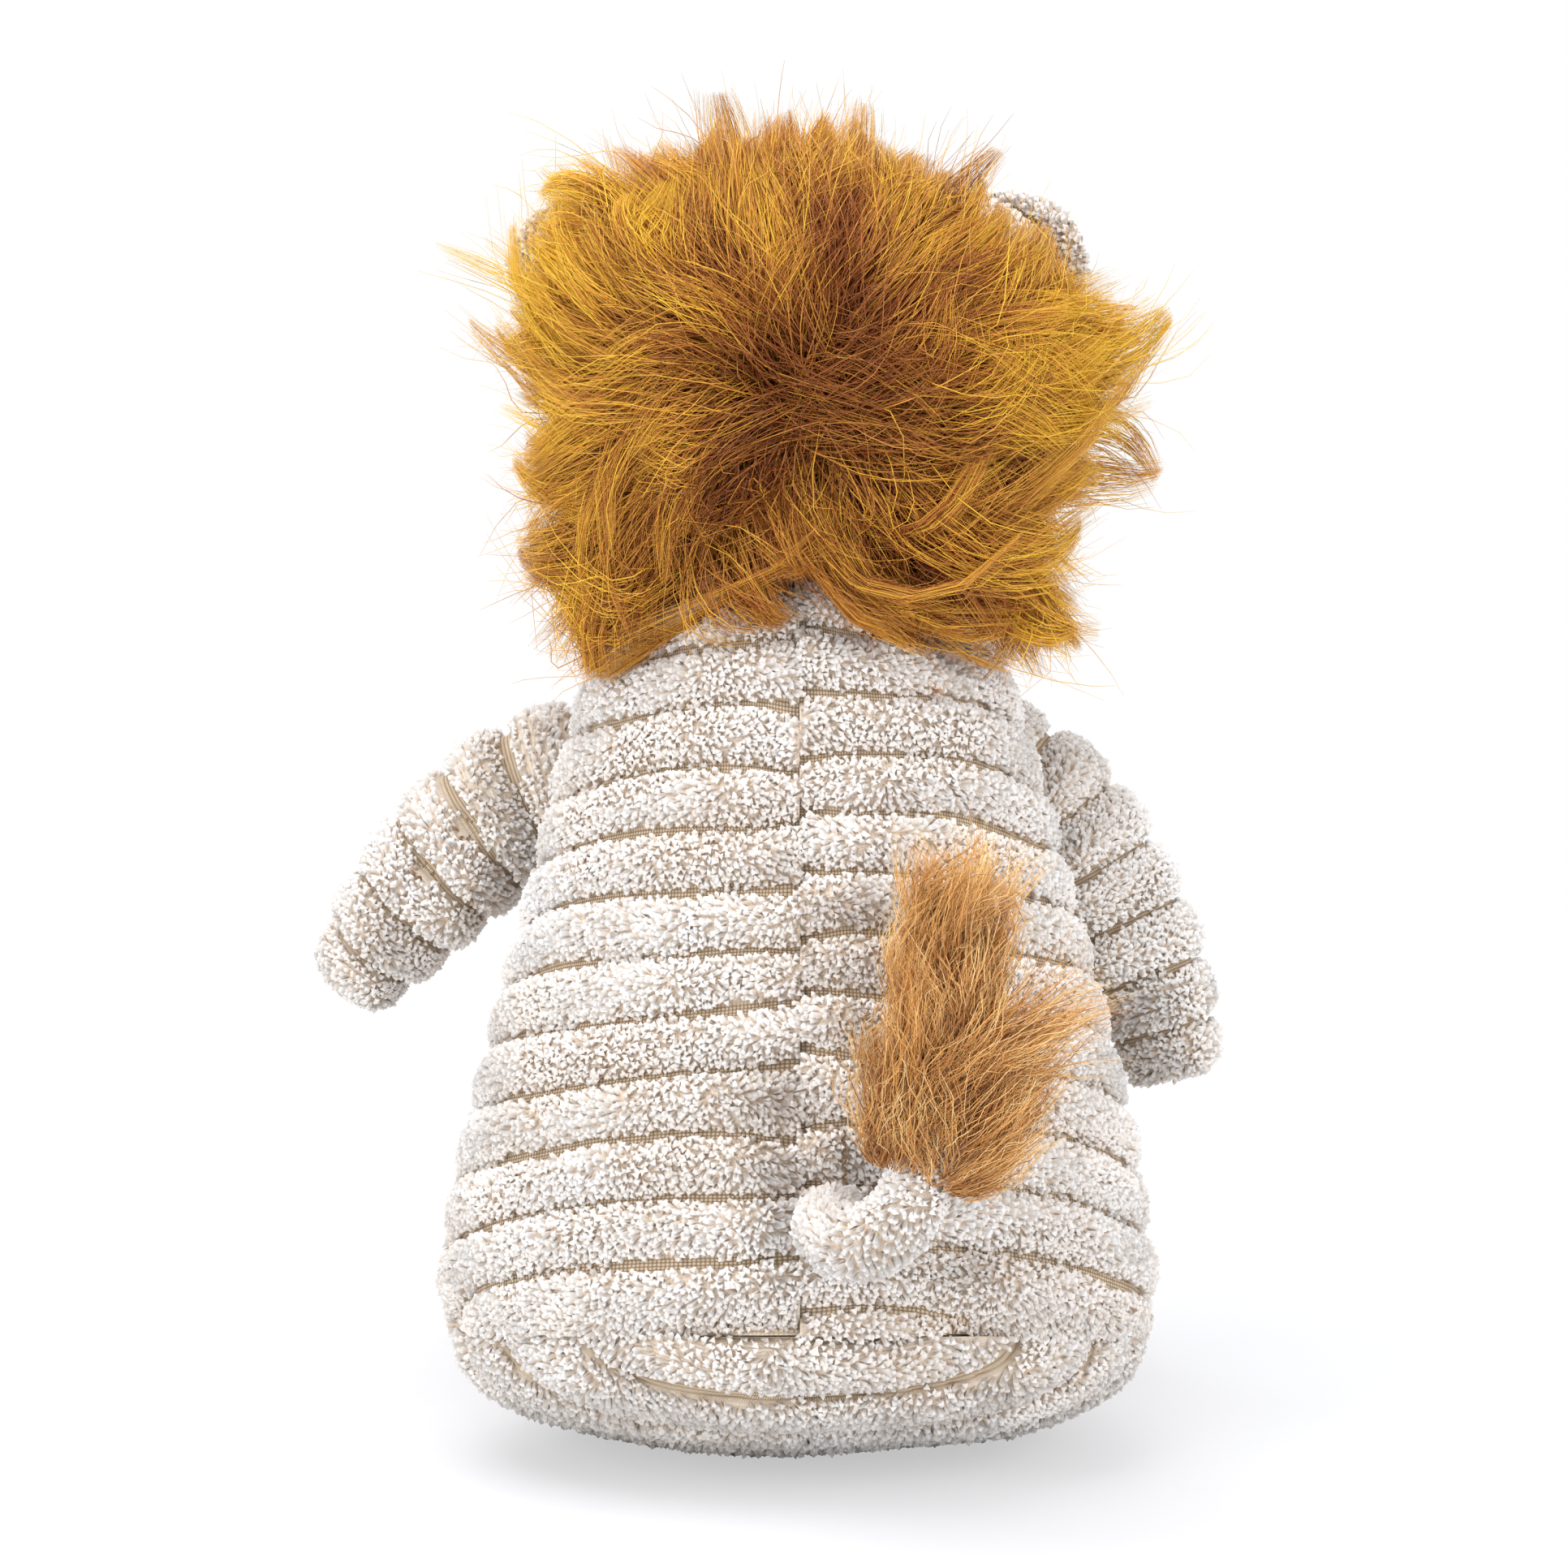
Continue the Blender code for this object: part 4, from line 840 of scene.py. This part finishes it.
def locks(roots, first_ways, last_ways, lengths, guides, dice, curl, gather, wild=0.12):
    """Courses of fibres that rise their first way, bend to their last and draw together in locks."""
    count = len(roots)
    climb = np.linspace(0, 1, FIBRE_POINTS)
    owner = np.argmin(np.linalg.norm(roots[:, None, :] - roots[None, guides, :], axis=2), axis=1)
    lead = guides[owner]
    own = unit(dice.normal(size=(count, 3)))
    bend = last_ways + curl * own[lead] + 0.12 * dice.normal(size=(count, 3))
    here = roots.copy()
    courses = [here]
    for i in range(1, FIBRE_POINTS):
        t = (i - 0.5) / (FIBRE_POINTS - 1)
        twist = np.sin(t * 5 + own[lead, :1] * 6) * own[lead][:, [1, 2, 0]] * curl * 0.8
        way = unit(first_ways * (1 - t) ** 1.3 * 1.3 + bend * (0.25 + t) + twist)
        here = here + way * (lengths / (FIBRE_POINTS - 1))[:, None]
        courses.append(here)
    courses = np.stack(courses, 1)
    loose = np.where(dice.random(count) < wild, 0.15, 1.0)
    pull = (gather * climb**1.2)[None, :, None] * loose[:, None, None]
    led = courses[lead]
    ratio = (lengths / lengths[lead])[:, None, None]
    led = led[:, :1] + (led - led[:, :1]) * ratio
    return courses * (1 - pull) + led * pull


tuft_fur = pile_finish(
    "tail_tuft_fur",
    ((0.0, (0.20, 0.06, 0.012)), (0.5, (0.50, 0.21, 0.05)), (1.0, (0.78, 0.44, 0.16))),
    ((0.0, (0.50, 0.19, 0.04)), (0.5, (0.88, 0.47, 0.13)), (1.0, (0.98, 0.74, 0.36))),
    roughness=0.4,
    sheen=0.1,
)
dice = np.random.default_rng(900)
count = TUFT_FIBRES
share = dice.uniform(0, 1, count) ** 1.2
middle, way = along_line(tail_line, tail_length * (TUFT_START + TUFT_SPAN * share))
turn = dice.uniform(0, math.tau, count)
side = unit(np.array((1.0, 0, 0)) - way * way[:, :1])
up = np.cross(way, side)
out = up * np.cos(turn)[:, None] + side * np.sin(turn)[:, None]
core = TUFT_RADIUS * 0.8 * shaped(TUFT_SHARES, share) * dice.uniform(0.05, 1, count) ** 0.5
roots = stand(middle + out * core[:, None] + tail_root)
swirl = (0.3 + 0.5 * ripple(roots, 0.04, 902))[:, None] * np.cross(way, out)
low = np.clip(1 - share / 0.2, 0, 1)[:, None]
right = np.clip(-out[:, 0], 0, 1)
first = out * (0.55 + 0.2 * low) + way * (0.8 - 0.4 * low) + swirl * 0.6
last = way * 0.9 - out * (0.1 + 0.6 * share[:, None]) + swirl * 0.7 + np.array((0, 0, 0.25))
last[:, 0] -= right * np.where(share < 0.36, TUFT_FLARE, 0.0)
wisp = (right > 0.3) & (share > 0.36) & (share < 0.56)
last[wisp] += WISP_WAY
first, last = (stand(ways) - stand(np.zeros(3)) for ways in (first, last))
guides = dice.choice(count, TUFT_LOCKS, replace=False)
lengths = dice.uniform(*TUFT_LENGTHS, count) * (0.85 + 0.4 * share) * np.where(wisp, 1.3, 1.0)
courses = locks(roots, first, last, lengths, guides, dice, curl=0.9, gather=0.35, wild=0.5)
courses += dice.normal(0, 0.0007, courses.shape) * np.linspace(0, 1, FIBRE_POINTS)[None, :, None] ** 0.5
tones = 0.50 + 0.36 * ripple(roots, 0.016, 901) + 0.4 * (share - 0.45) + 0.25 * low[:, 0]
tones = tones + dice.normal(0, 0.3, count)
thick = dice.uniform(*TUFT_THICKNESS, count)
for i, part in enumerate(np.array_split(np.arange(count), 2)):
    tuft = fur("tail_tuft_lock_%d" % (i + 1), courses[part], thick[part], tones[part], tuft_fur)
    fasten([tuft], "tail", "tuft", "tail_tuft")


# Head: a stuffed ball of cord. The face panel is in front, and the panel behind it
# is hidden under the mane apart from the nape.
HEAD_BASE = 0.194
HEAD_RISE = 0.045
HEAD_PLACE = np.array((0.0, 0.0, HEAD_BASE + HEAD_RISE))
HEAD_HALF = np.array((0.054, 0.046, 0.048))
FACE_SEAM = 1.62
FACE_END = 1.45


def ball_chart(half):
    """A ball in the head's place; u turns round it from its half depth and v climbs to its crown."""

    def chart(u, v):
        x = half[0] * np.cos(v) * np.sin(u)
        y = half[1] * np.cos(v) * np.cos(u)
        return stand(np.stack([x, y, half[2] * np.sin(v)], -1) + HEAD_PLACE)

    return chart


def head_wales(u, v):
    return HEAD_HALF[2] * v * 1.05 - 0.002


head_chart = ball_chart(HEAD_HALF * np.array((1, -1, 1)))
for name, node, sides, heights, cells, seed in (
    ("face_cloth", "face_panel", (-FACE_SEAM, FACE_SEAM), (-FACE_END, FACE_END), (80, 70), 1000),
    ("nape_cloth", "head_back_panel", (FACE_SEAM, math.tau - FACE_SEAM), (-FACE_END, 0.0), (40, 70), 1100),
):
    plush_cord(name, head_chart, sides, heights, head_wales, 1, "head", node, cells, seed)


# Muzzle: a small stuffed pad of cord on the front of the face, with a shallow cleft
# that its stitched mouth draws in.
MUZZLE_HALF_WIDTH = 0.025
MUZZLE_HALF_HEIGHT = 0.017
MUZZLE_LENGTH = 0.020
MUZZLE_DROP = 0.012
MUZZLE_SINK = 0.0068
MUZZLE_FULLNESS = 2.6
MUZZLE_CLEFT = 0.16
muzzle_front = HEAD_HALF[1] * math.sqrt(1 - (MUZZLE_DROP / HEAD_HALF[2]) ** 2)


def muzzle_chart(u, v):
    """The muzzle; u turns round it and v goes from its foot to its middle in front."""
    size = np.cos(v) ** (2 / MUZZLE_FULLNESS)
    deep = np.sin(v) ** (2 / MUZZLE_FULLNESS)
    y = -muzzle_front + MUZZLE_SINK - (MUZZLE_LENGTH + MUZZLE_SINK) * deep
    cleft = 1 - MUZZLE_CLEFT * bell(wrapped(u + math.pi / 2) / 0.35)
    x = MUZZLE_HALF_WIDTH * size * np.cos(u) * cleft
    z = MUZZLE_HALF_HEIGHT * size * np.sin(u) * cleft - MUZZLE_DROP
    return stand(np.stack([x, y, z], -1) + HEAD_PLACE)


def muzzle_wales(u, v):
    return MUZZLE_HALF_HEIGHT * np.cos(v) * np.sin(u) - WALE_PITCH * 0.5


spans = ROUND, (0.12, 1.5)
plush_cord("muzzle_cloth", muzzle_chart, *spans, muzzle_wales, 1, "head", "muzzle", (30, 60), 1200)


# Nose and mouth: a padded nose of brown velour sewn on top of the muzzle, and under it a mouth
# of three lines of thread in the same brown.
NOSE_RADIUS = 0.0085
NOSE_CORNERS = 0.16
NOSE_STANDOFF = 0.0022
NOSE_CROWN = 0.0075
NOSE_RISE = 0.007
MOUTH_THREAD = 0.00055
MOUTH_LIFT = 0.0012
MOUTH_TOP = 1.45
MOUTH_FORK = 1.02
MOUTH_REACH = 0.95
MOUTH_CURL = 0.14
velour_stops = ((0.3, (0.045, 0.02, 0.012)), (0.7, (0.13, 0.06, 0.035)))
nose_velour = speckled("brown_nose_velour", "TexNoise", 900, velour_stops, 0.75, sheen=0.4)


def nose_chart(u, v):
    wide = NOSE_RADIUS * np.sin(v) * (1 - NOSE_CORNERS * np.sin(3 * u))
    y = -muzzle_front - MUZZLE_LENGTH - NOSE_STANDOFF + NOSE_CROWN * (1 - np.cos(v)) * 0.6
    here = np.stack([wide * np.cos(u) * 1.15, y, wide * np.sin(u) * 0.85 - MUZZLE_DROP + NOSE_RISE], -1)
    return stand(here + HEAD_PLACE)


def turned_piece(name, chart, v_end, cells, finish, node):
    """A small round piece of the face, from its middle in front to where it ends behind."""
    rows, cols = cells
    u, v = np.meshgrid(np.linspace(0, math.tau, cols + 1)[:-1], np.linspace(0.02, v_end, rows + 1))
    piece = sewn_mesh(name, chart(u.ravel(), v.ravel()), hoop_faces(rows, cols), finish)
    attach(piece, "head")
    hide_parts(node)


turned_piece("nose_pad", nose_chart, 1.9, (16, 36), nose_velour, "nose")
down_line = np.stack([np.full(9, -math.pi / 2), np.linspace(MOUTH_TOP, MOUTH_FORK, 9)], 1)
smile_turn = np.linspace(-math.pi / 2, -math.pi / 2 + MOUTH_REACH, 9)
smile = np.stack([smile_turn, MOUTH_FORK - MOUTH_CURL * np.sin(np.linspace(0, 1.6, 9))], 1)
other_smile = smile * np.array((-1, 1)) - np.array((math.pi, 0))
mouth = np.stack([down_line, smile, other_smile])
here, out, across = bearings(muzzle_chart, mouth[..., 0], mouth[..., 1], 1)
line = here + out * MOUTH_LIFT
stitches = fur("mouth_stitches", line, np.full(3, MOUTH_THREAD), np.full(3, 0.1), nose_velour)
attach(stitches, "head")


# Eyes: two black plastic safety eyes with domed fronts. Their shanks go through the face panel
# and are locked behind it by washers.
EYE_RADIUS = 0.0055
EYE_DOME = 0.0038
EYE_SPREAD = 0.019
EYE_LIFT = 0.008
EYE_SINK = 0.0002
gloss_stops = ((0.0, (0.012, 0.008, 0.006)), (1.0, (0.03, 0.02, 0.015)))
eye_gloss = speckled("black_eye_gloss", "TexNoise", 300, gloss_stops, 0.08, shine=0.6)
for side, sign in (("left", 1), ("right", -1)):
    eye_x = sign * EYE_SPREAD
    eye_y = -HEAD_HALF[1] * math.sqrt(1 - (eye_x / HEAD_HALF[0]) ** 2 - (EYE_LIFT / HEAD_HALF[2]) ** 2)
    middle = np.array((eye_x, eye_y + EYE_SINK, EYE_LIFT)) + HEAD_PLACE

    def eye_chart(u, v, middle=middle):
        x = EYE_RADIUS * np.sin(v) * np.cos(u)
        z = EYE_RADIUS * np.sin(v) * np.sin(u)
        return stand(np.stack([x, -EYE_DOME * np.cos(v), z], -1) + middle)

    turned_piece("eye_%s_dome" % side, eye_chart, 2.2, (14, 32), eye_gloss, "eye_" + side)


# Ears: round cord ears with tan plush let into their fronts, sewn on at each side of the face.
# They are flat and stand out between the face and the mane.
EAR_WIDTH = 0.038
EAR_HEIGHT = 0.028
EAR_HALF = 0.0040
EAR_ANGLE = math.radians(28)
EAR_FORWARD = 0.011
EAR_STANDOFF = 0.0005
ear_cos, ear_sin = math.cos(EAR_ANGLE), math.sin(EAR_ANGLE)
ear_section = math.sqrt(1 - (EAR_FORWARD / HEAD_HALF[1]) ** 2)
ear_reach = 1 / math.hypot(ear_cos / (HEAD_HALF[0] * ear_section), ear_sin / (HEAD_HALF[2] * ear_section))
ear_reach += EAR_STANDOFF


def ear_wales(u, v):
    return v * EAR_HEIGHT - 0.004


for side, sign in (("left", 1), ("right", -1)):
    foot = HEAD_PLACE + np.array((sign * ear_reach * ear_cos, -EAR_FORWARD, ear_reach * ear_sin))
    rise_way = np.array((sign * ear_cos, 0, ear_sin))
    wide_way = np.array((ear_sin, 0, -sign * ear_cos))

    def ear_side(facing, foot=foot, rise_way=rise_way, wide_way=wide_way):
        def chart(u, v):
            wide = EAR_WIDTH / 2 * u
            tall = EAR_HALF + (EAR_HEIGHT - EAR_HALF) * v * np.sqrt(np.clip(1 - 0.985 * u**2, 0, 1))
            edge = np.clip(1 - np.maximum(np.abs(u), np.abs(2 * v - 1)) ** 5, 0, 1) ** 0.5
            thick = facing * (EAR_HALF * (0.25 + 0.75 * edge))
            here = foot + wide_way * wide[..., None] + rise_way * tall[..., None]
            here = here + np.array((0, 1.0, 0)) * thick[..., None]
            return stand(here)

        return chart

    name, node = "ear_%s_cloth" % side, "ear_%s_back" % side
    ear_spans = (-0.99, 0.99), (-0.1, 1.0)
    plush_cord(name, ear_side(1), *ear_spans, ear_wales, -1, "ear_" + side, node, (24, 24), 1300)
    name, node = "ear_%s_pad" % side, "ear_%s_lining" % side
    short_plush(name, ear_side(-1), *ear_spans, "ear_" + side, node, "ear_lining", (20, 20), 1400)


# Mane: a broad strip of long silky fur sewn over the back of the head from ear to ear. It is
# combed out from a whorl behind the head, matted below it, and hangs in locks on the shoulders.
WHORL = np.array((-0.003, 0.263))
MANE_REACH = (
    (-180, 0.083), (-165, 0.076), (-150, 0.077), (-132, 0.092), (-117, 0.065), (-102, 0.044), (-94, 0.036),
    (-84, 0.035), (-70, 0.048), (-61, 0.055), (-54, 0.084), (-49, 0.097), (-42, 0.089), (-30, 0.082),
    (-15, 0.076), (0, 0.073), (16, 0.079), (28, 0.083), (36, 0.083), (42, 0.086), (50, 0.072), (60, 0.071),
    (75, 0.065), (84, 0.067), (90, 0.069), (96, 0.066), (105, 0.064), (120, 0.064), (138, 0.066),
    (152, 0.069), (166, 0.085), (180, 0.083),
)
MANE_LONGEST = 0.104
MANE_BACK = 0.049
MANE_RIM = (
    (-180, -0.016), (-150, 0.002), (-125, 0.024), (-90, 0.034), (-57, 0.024), (-25, 0.000), (0, -0.010),
    (90, -0.014), (180, -0.012),
)
MANE_SHELL = HEAD_HALF + np.array((0.002, 0.002, 0.001))
MANE_FULLNESS = 2.3
MANE_SHOULDER = 0.62
MANE_FIBRES = 15500
MANE_LOCKS = 190
MANE_DEPTH = 0.009
MANE_LENGTHS = (0.030, 0.046)
MANE_THICKNESS = (0.00011, 0.00018)
MANE_STRAY = 3.4
FLYING_SHARE = 0.05
MANE_GATHER = 0.88
MATTED_SPOT = (-0.003, 0.238)
MATTED_SIZE = (0.045, 0.026)
MATTED_LOOP = 0.0042
MATTED_DROP = 0.004
PARTING_DARK = 0.6
PARTING_SPOT = (-0.007, 0.036)
PARTING_SIZE = (0.010, 0.018)
mane_fur = pile_finish(
    "mane_fur",
    (
        (0.0, (0.12, 0.022, 0.004)), (0.3, (0.27, 0.085, 0.016)),
        (0.65, (0.52, 0.21, 0.024)), (1.0, (0.74, 0.39, 0.025)),
    ),
    (
        (0.0, (0.34, 0.085, 0.012)), (0.3, (0.62, 0.26, 0.05)),
        (0.65, (0.84, 0.42, 0.05)), (1.0, (0.95, 0.62, 0.05)),
    ),
    roughness=0.38,
    sheen=0.0,
    shine=0.3,
)


u, v, quads = grid_of((-1.65, 1.65), (-0.85, 1.5), (40, 60), -1)
uv = np.tile((0.2, 0.1), (len(u), 1))
strip = sewn_mesh("mane_strip", ball_chart(MANE_SHELL)(u, v), np.roll(quads, 1, axis=1), mane_fur, uv)
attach(strip, "head")


def blob(x, z, spot, size):
    """1 at a spot of the mane, fading to 0 round it."""
    return np.exp(-(((x - spot[0]) / size[0]) ** 2) - ((z - spot[1]) / size[1]) ** 2)


def mane_place(turn, share, depth):
    """A place in the mane: which way from the whorl, how far out of its reach, how deep under its top."""
    degrees = np.degrees(wrapped(turn))
    far = shaped(MANE_REACH, degrees) * share
    rim = shaped(MANE_RIM, degrees)
    rise = np.clip(1 - np.clip(share, 0, 1) ** MANE_FULLNESS, 0, 1) ** MANE_SHOULDER
    y = rim + (MANE_BACK - rim) * rise - depth
    return np.stack([WHORL[0] + far * np.cos(turn), y, WHORL[1] + far * np.sin(turn)], -1)


def combed(turn, start, length, depth, dice):
    """Courses combed out from the whorl, that rise to the mane's top and gather in pointed locks."""
    count = len(turn)
    reach = shaped(MANE_REACH, np.degrees(wrapped(turn)))
    roots = mane_place(turn, start, depth)
    lead_roots = roots[:MANE_LOCKS]
    owner = np.argmin(np.linalg.norm(roots[:, None, ::2] - lead_roots[None, :, ::2], axis=2), axis=1)
    swing = dice.normal(0, 1, (MANE_LOCKS, 4))[owner]
    matted = blob(roots[:, 0], roots[:, 2], MATTED_SPOT, MATTED_SIZE)
    wander = 0.35 + 1.5 * matted
    climb = np.linspace(0, 1, FIBRE_POINTS)
    crossing = dice.normal(0, 0.34, count) * np.clip(1 - start * 1.6, 0.1, 1)
    shift = dice.normal(0, 0.007, (count, 2)) * np.clip(1 - start * 1.4, 0, 1)[:, None]
    most = 0.965 + 0.07 * swing[:, 3] + 0.15 * np.clip(swing[:, 3] - 0.8, 0, 0.9)
    flying = (dice.random(count) < FLYING_SHARE) & (np.arange(count) >= MANE_LOCKS)
    most += np.where(flying, dice.uniform(0.02, 0.2, count), 0)
    ends = np.maximum(np.minimum(start + length / reach, most), start + 0.12)
    courses = []
    for t in climb:
        share = start + (ends - start) * t
        side = turn + crossing * t + wander * 0.16 * swing[:, 0] * t + wander * 0.3 * swing[:, 1] * t**2
        waves = 0.0035 * wander * np.sin(t * 4 + swing[:, 2] * 2)
        deep = depth * (1 - 0.85 * t) + 0.010 * (1 - t) ** 3 + waves
        wide = shaped(MANE_REACH, np.degrees(wrapped(side)))
        here = mane_place(side, share * np.minimum(1, 1.1 * reach / wide), deep)
        loop = MATTED_LOOP * wander * matted
        from_turn = 1.2 * swing[:, 2]
        to_turn = from_turn + t * (3.4 + swing[:, 0])
        here[:, 0] += shift[:, 0] * (1 - t * 0.6) + loop * (np.sin(to_turn) - np.sin(from_turn))
        here[:, 2] += shift[:, 1] * (1 - t * 0.6) + loop * (np.cos(to_turn) - np.cos(from_turn))
        here[:, 2] -= MATTED_DROP * matted * t
        courses.append(here)
    courses = np.stack(courses, 1)
    stray = np.where(flying | (dice.random(count) < 0.1), MANE_STRAY, 1.0)
    fray = dice.normal(0, 0.00075, (count, 3)) * stray[:, None]
    bend = dice.normal(0, 0.0008, (count, 3)) * stray[:, None]
    courses += fray[:, None] * (climb[:, None] + 0.3) + bend[:, None] * np.sin(climb * 5)[:, None]
    loose = dice.uniform(0.66, 1, count) / stray
    pull = (MANE_GATHER * climb**1.2)[None, :, None] * loose[:, None, None]
    return courses * (1 - pull) + courses[owner] * pull, swing[:, 2] + 0.6 * swing[:, 0]


def mane_tones(courses, dice):
    """Brown about the whorl, red-brown in the parting over it and golden at the sides and top. The brown
    about the whorl is partly the fur's own and partly painted shade among its roots, and one fibre in five is
    lighter as a painted glint.
    """
    x, z = courses[..., 0] - WHORL[0], courses[..., 2] - WHORL[1]
    side = np.clip((np.abs(x) - 0.020) / 0.052, 0, 1)
    up = np.clip(z / 0.06, 0, 1)
    down = np.clip(-z / 0.07, 0, 1)
    gold = 0.24 + 0.62 * side**1.4 * (1 - 0.5 * down) + 0.30 * up**2 + 0.06 * down
    gold -= PARTING_DARK * blob(x, z, PARTING_SPOT, PARTING_SIZE)
    gold += 0.10 * ripple(courses, 0.022, 1502)
    # One fibre in five gets a lighter tone: painted glints.
    glint = np.where(dice.random(len(courses)) < 0.2, 0.38, 0.0)
    return gold + (glint - 0.06 + dice.normal(0, 0.24, len(courses)))[:, None]


dice = np.random.default_rng(1500)
tries = MANE_FIBRES * 2
turn = dice.uniform(-math.pi, math.pi, tries)
kept = dice.random(tries) < (shaped(MANE_REACH, np.degrees(turn)) / MANE_LONGEST) ** 1.6
turn = turn[kept][:MANE_FIBRES]
count = len(turn)
start = 0.86 * dice.random(count) ** 0.6 - 0.03
depth = MANE_DEPTH * dice.random(count)
length = dice.uniform(*MANE_LENGTHS, count)
courses, lock_tone = combed(turn, start, length, depth, dice)
# Fibres that start deeper in the mane get darker tones: painted shade under its top.
tones = mane_tones(courses, dice) + (0.13 * lock_tone - 32 * (depth - 0.004))[:, None]
thick = dice.uniform(*MANE_THICKNESS, count)
order = np.argsort(courses[:, 0, 0])
left_first = np.searchsorted(courses[order, 0, 0], 0)
for half, own in (("right", order[:left_first]), ("left", order[left_first:])):
    for i, part in enumerate(np.array_split(own, 4)):
        lock = fur("mane_%s_locks_%d" % (half, i + 1), courses[part], thick[part], tones[part], mane_fur)
        fasten([lock], "head", "mane", "mane_" + half)


# Ruff: the edge of the same strip, sewn round the head behind the face and the ears. Its fur
# stands out at the sides and over the top and fills the rim of the mane.
RUFF_FIBRES = 10500
RUFF_LOCKS = 160
RUFF_FROM = math.radians(-62)
RUFF_TO = math.radians(242)
RUFF_FRONT = -0.009
RUFF_FORWARD = 0.008
RUFF_BACK = 0.040
RUFF_LONGEST = 0.050
dice = np.random.default_rng(1600)
count = RUFF_FIBRES
turn = dice.uniform(RUFF_FROM, RUFF_TO, count)
front_rim = RUFF_FRONT - RUFF_FORWARD * np.clip(np.sin(turn), 0, 1) ** 2
places = front_rim + (RUFF_BACK - front_rim) * dice.random(count)
waist = 0.97 * np.sqrt(1 - (places / MANE_SHELL[1]) ** 2)
ring = np.stack([MANE_SHELL[0] * waist * np.cos(turn), places, MANE_SHELL[2] * waist * np.sin(turn)], 1)
roots = stand(ring + HEAD_PLACE)
rim = shaped(MANE_RIM, np.degrees(wrapped(turn)))
rise = np.clip((roots[:, 1] - rim) / (MANE_BACK - rim), 0, 0.97)
far = 0.97 * (1 - rise ** (1 / MANE_SHOULDER)) ** (1 / MANE_FULLNESS)
at_rim = mane_place(turn, far, 0)
at_rim[:, 1] = np.minimum(at_rim[:, 1], roots[:, 1] + 0.004) - 0.004 * (rise == 0)
outward = at_rim - roots
lengths = np.minimum(np.linalg.norm(outward, axis=1) * dice.uniform(0.9, 1.08, count), RUFF_LONGEST)
guides = dice.choice(count, RUFF_LOCKS, replace=False)
first = unit(outward) + np.array((0, -0.35, 0))
last = unit(outward) + np.array((0, 0.05, -0.12))
courses = locks(roots, first, last, lengths, guides, dice, curl=0.28, gather=0.75)
tones = mane_tones(courses, dice) + 0.05
thick = dice.uniform(*MANE_THICKNESS, count)
quarters = ("right_back", "right_front", "left_front", "left_back")
for quarter, part in zip(quarters, np.array_split(np.argsort(roots[:, 0]), 4)):
    lock = fur("ruff_%s_locks" % quarter, courses[part], thick[part], tones[part], mane_fur)
    fasten([lock], "head", "mane", "mane_" + quarter.split("_")[0])


# Fillings: white fibre in the body, head, neck and arms, bags of plastic pellets in the base
# and the feet, and the eyes' washers. They stay inside the cloth.
fibre_stops = ((0.3, (0.74, 0.74, 0.72)), (0.7, (0.9, 0.9, 0.88)))
linen_stops = ((0.0, (0.6, 0.48, 0.34)), (1.0, (0.45, 0.35, 0.24)))
washer_stops = ((0.0, (0.76, 0.76, 0.74)), (1.0, (0.84, 0.84, 0.82)))
fibre = speckled("white_fibre", "TexNoise", 220, fibre_stops, 0.95, sheen=0.3)
pellet_linen = speckled("pellet_linen", "TexVoronoi", 320, linen_stops, 0.8)
washer_white = speckled("washer_white", "TexNoise", 60, washer_stops, 0.5)
for finish, nodes in (
    (fibre, ("body_stuffing", "neck_plug", "head_stuffing", "arm_left_stuffing", "arm_right_stuffing")),
    (pellet_linen, ("pellet_bag", "leg_left_pellets", "leg_right_pellets")),
    (washer_white, ("eye_washer_left", "eye_washer_right")),
):
    for node in nodes:
        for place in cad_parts[node].material_slots:
            place.material = finish
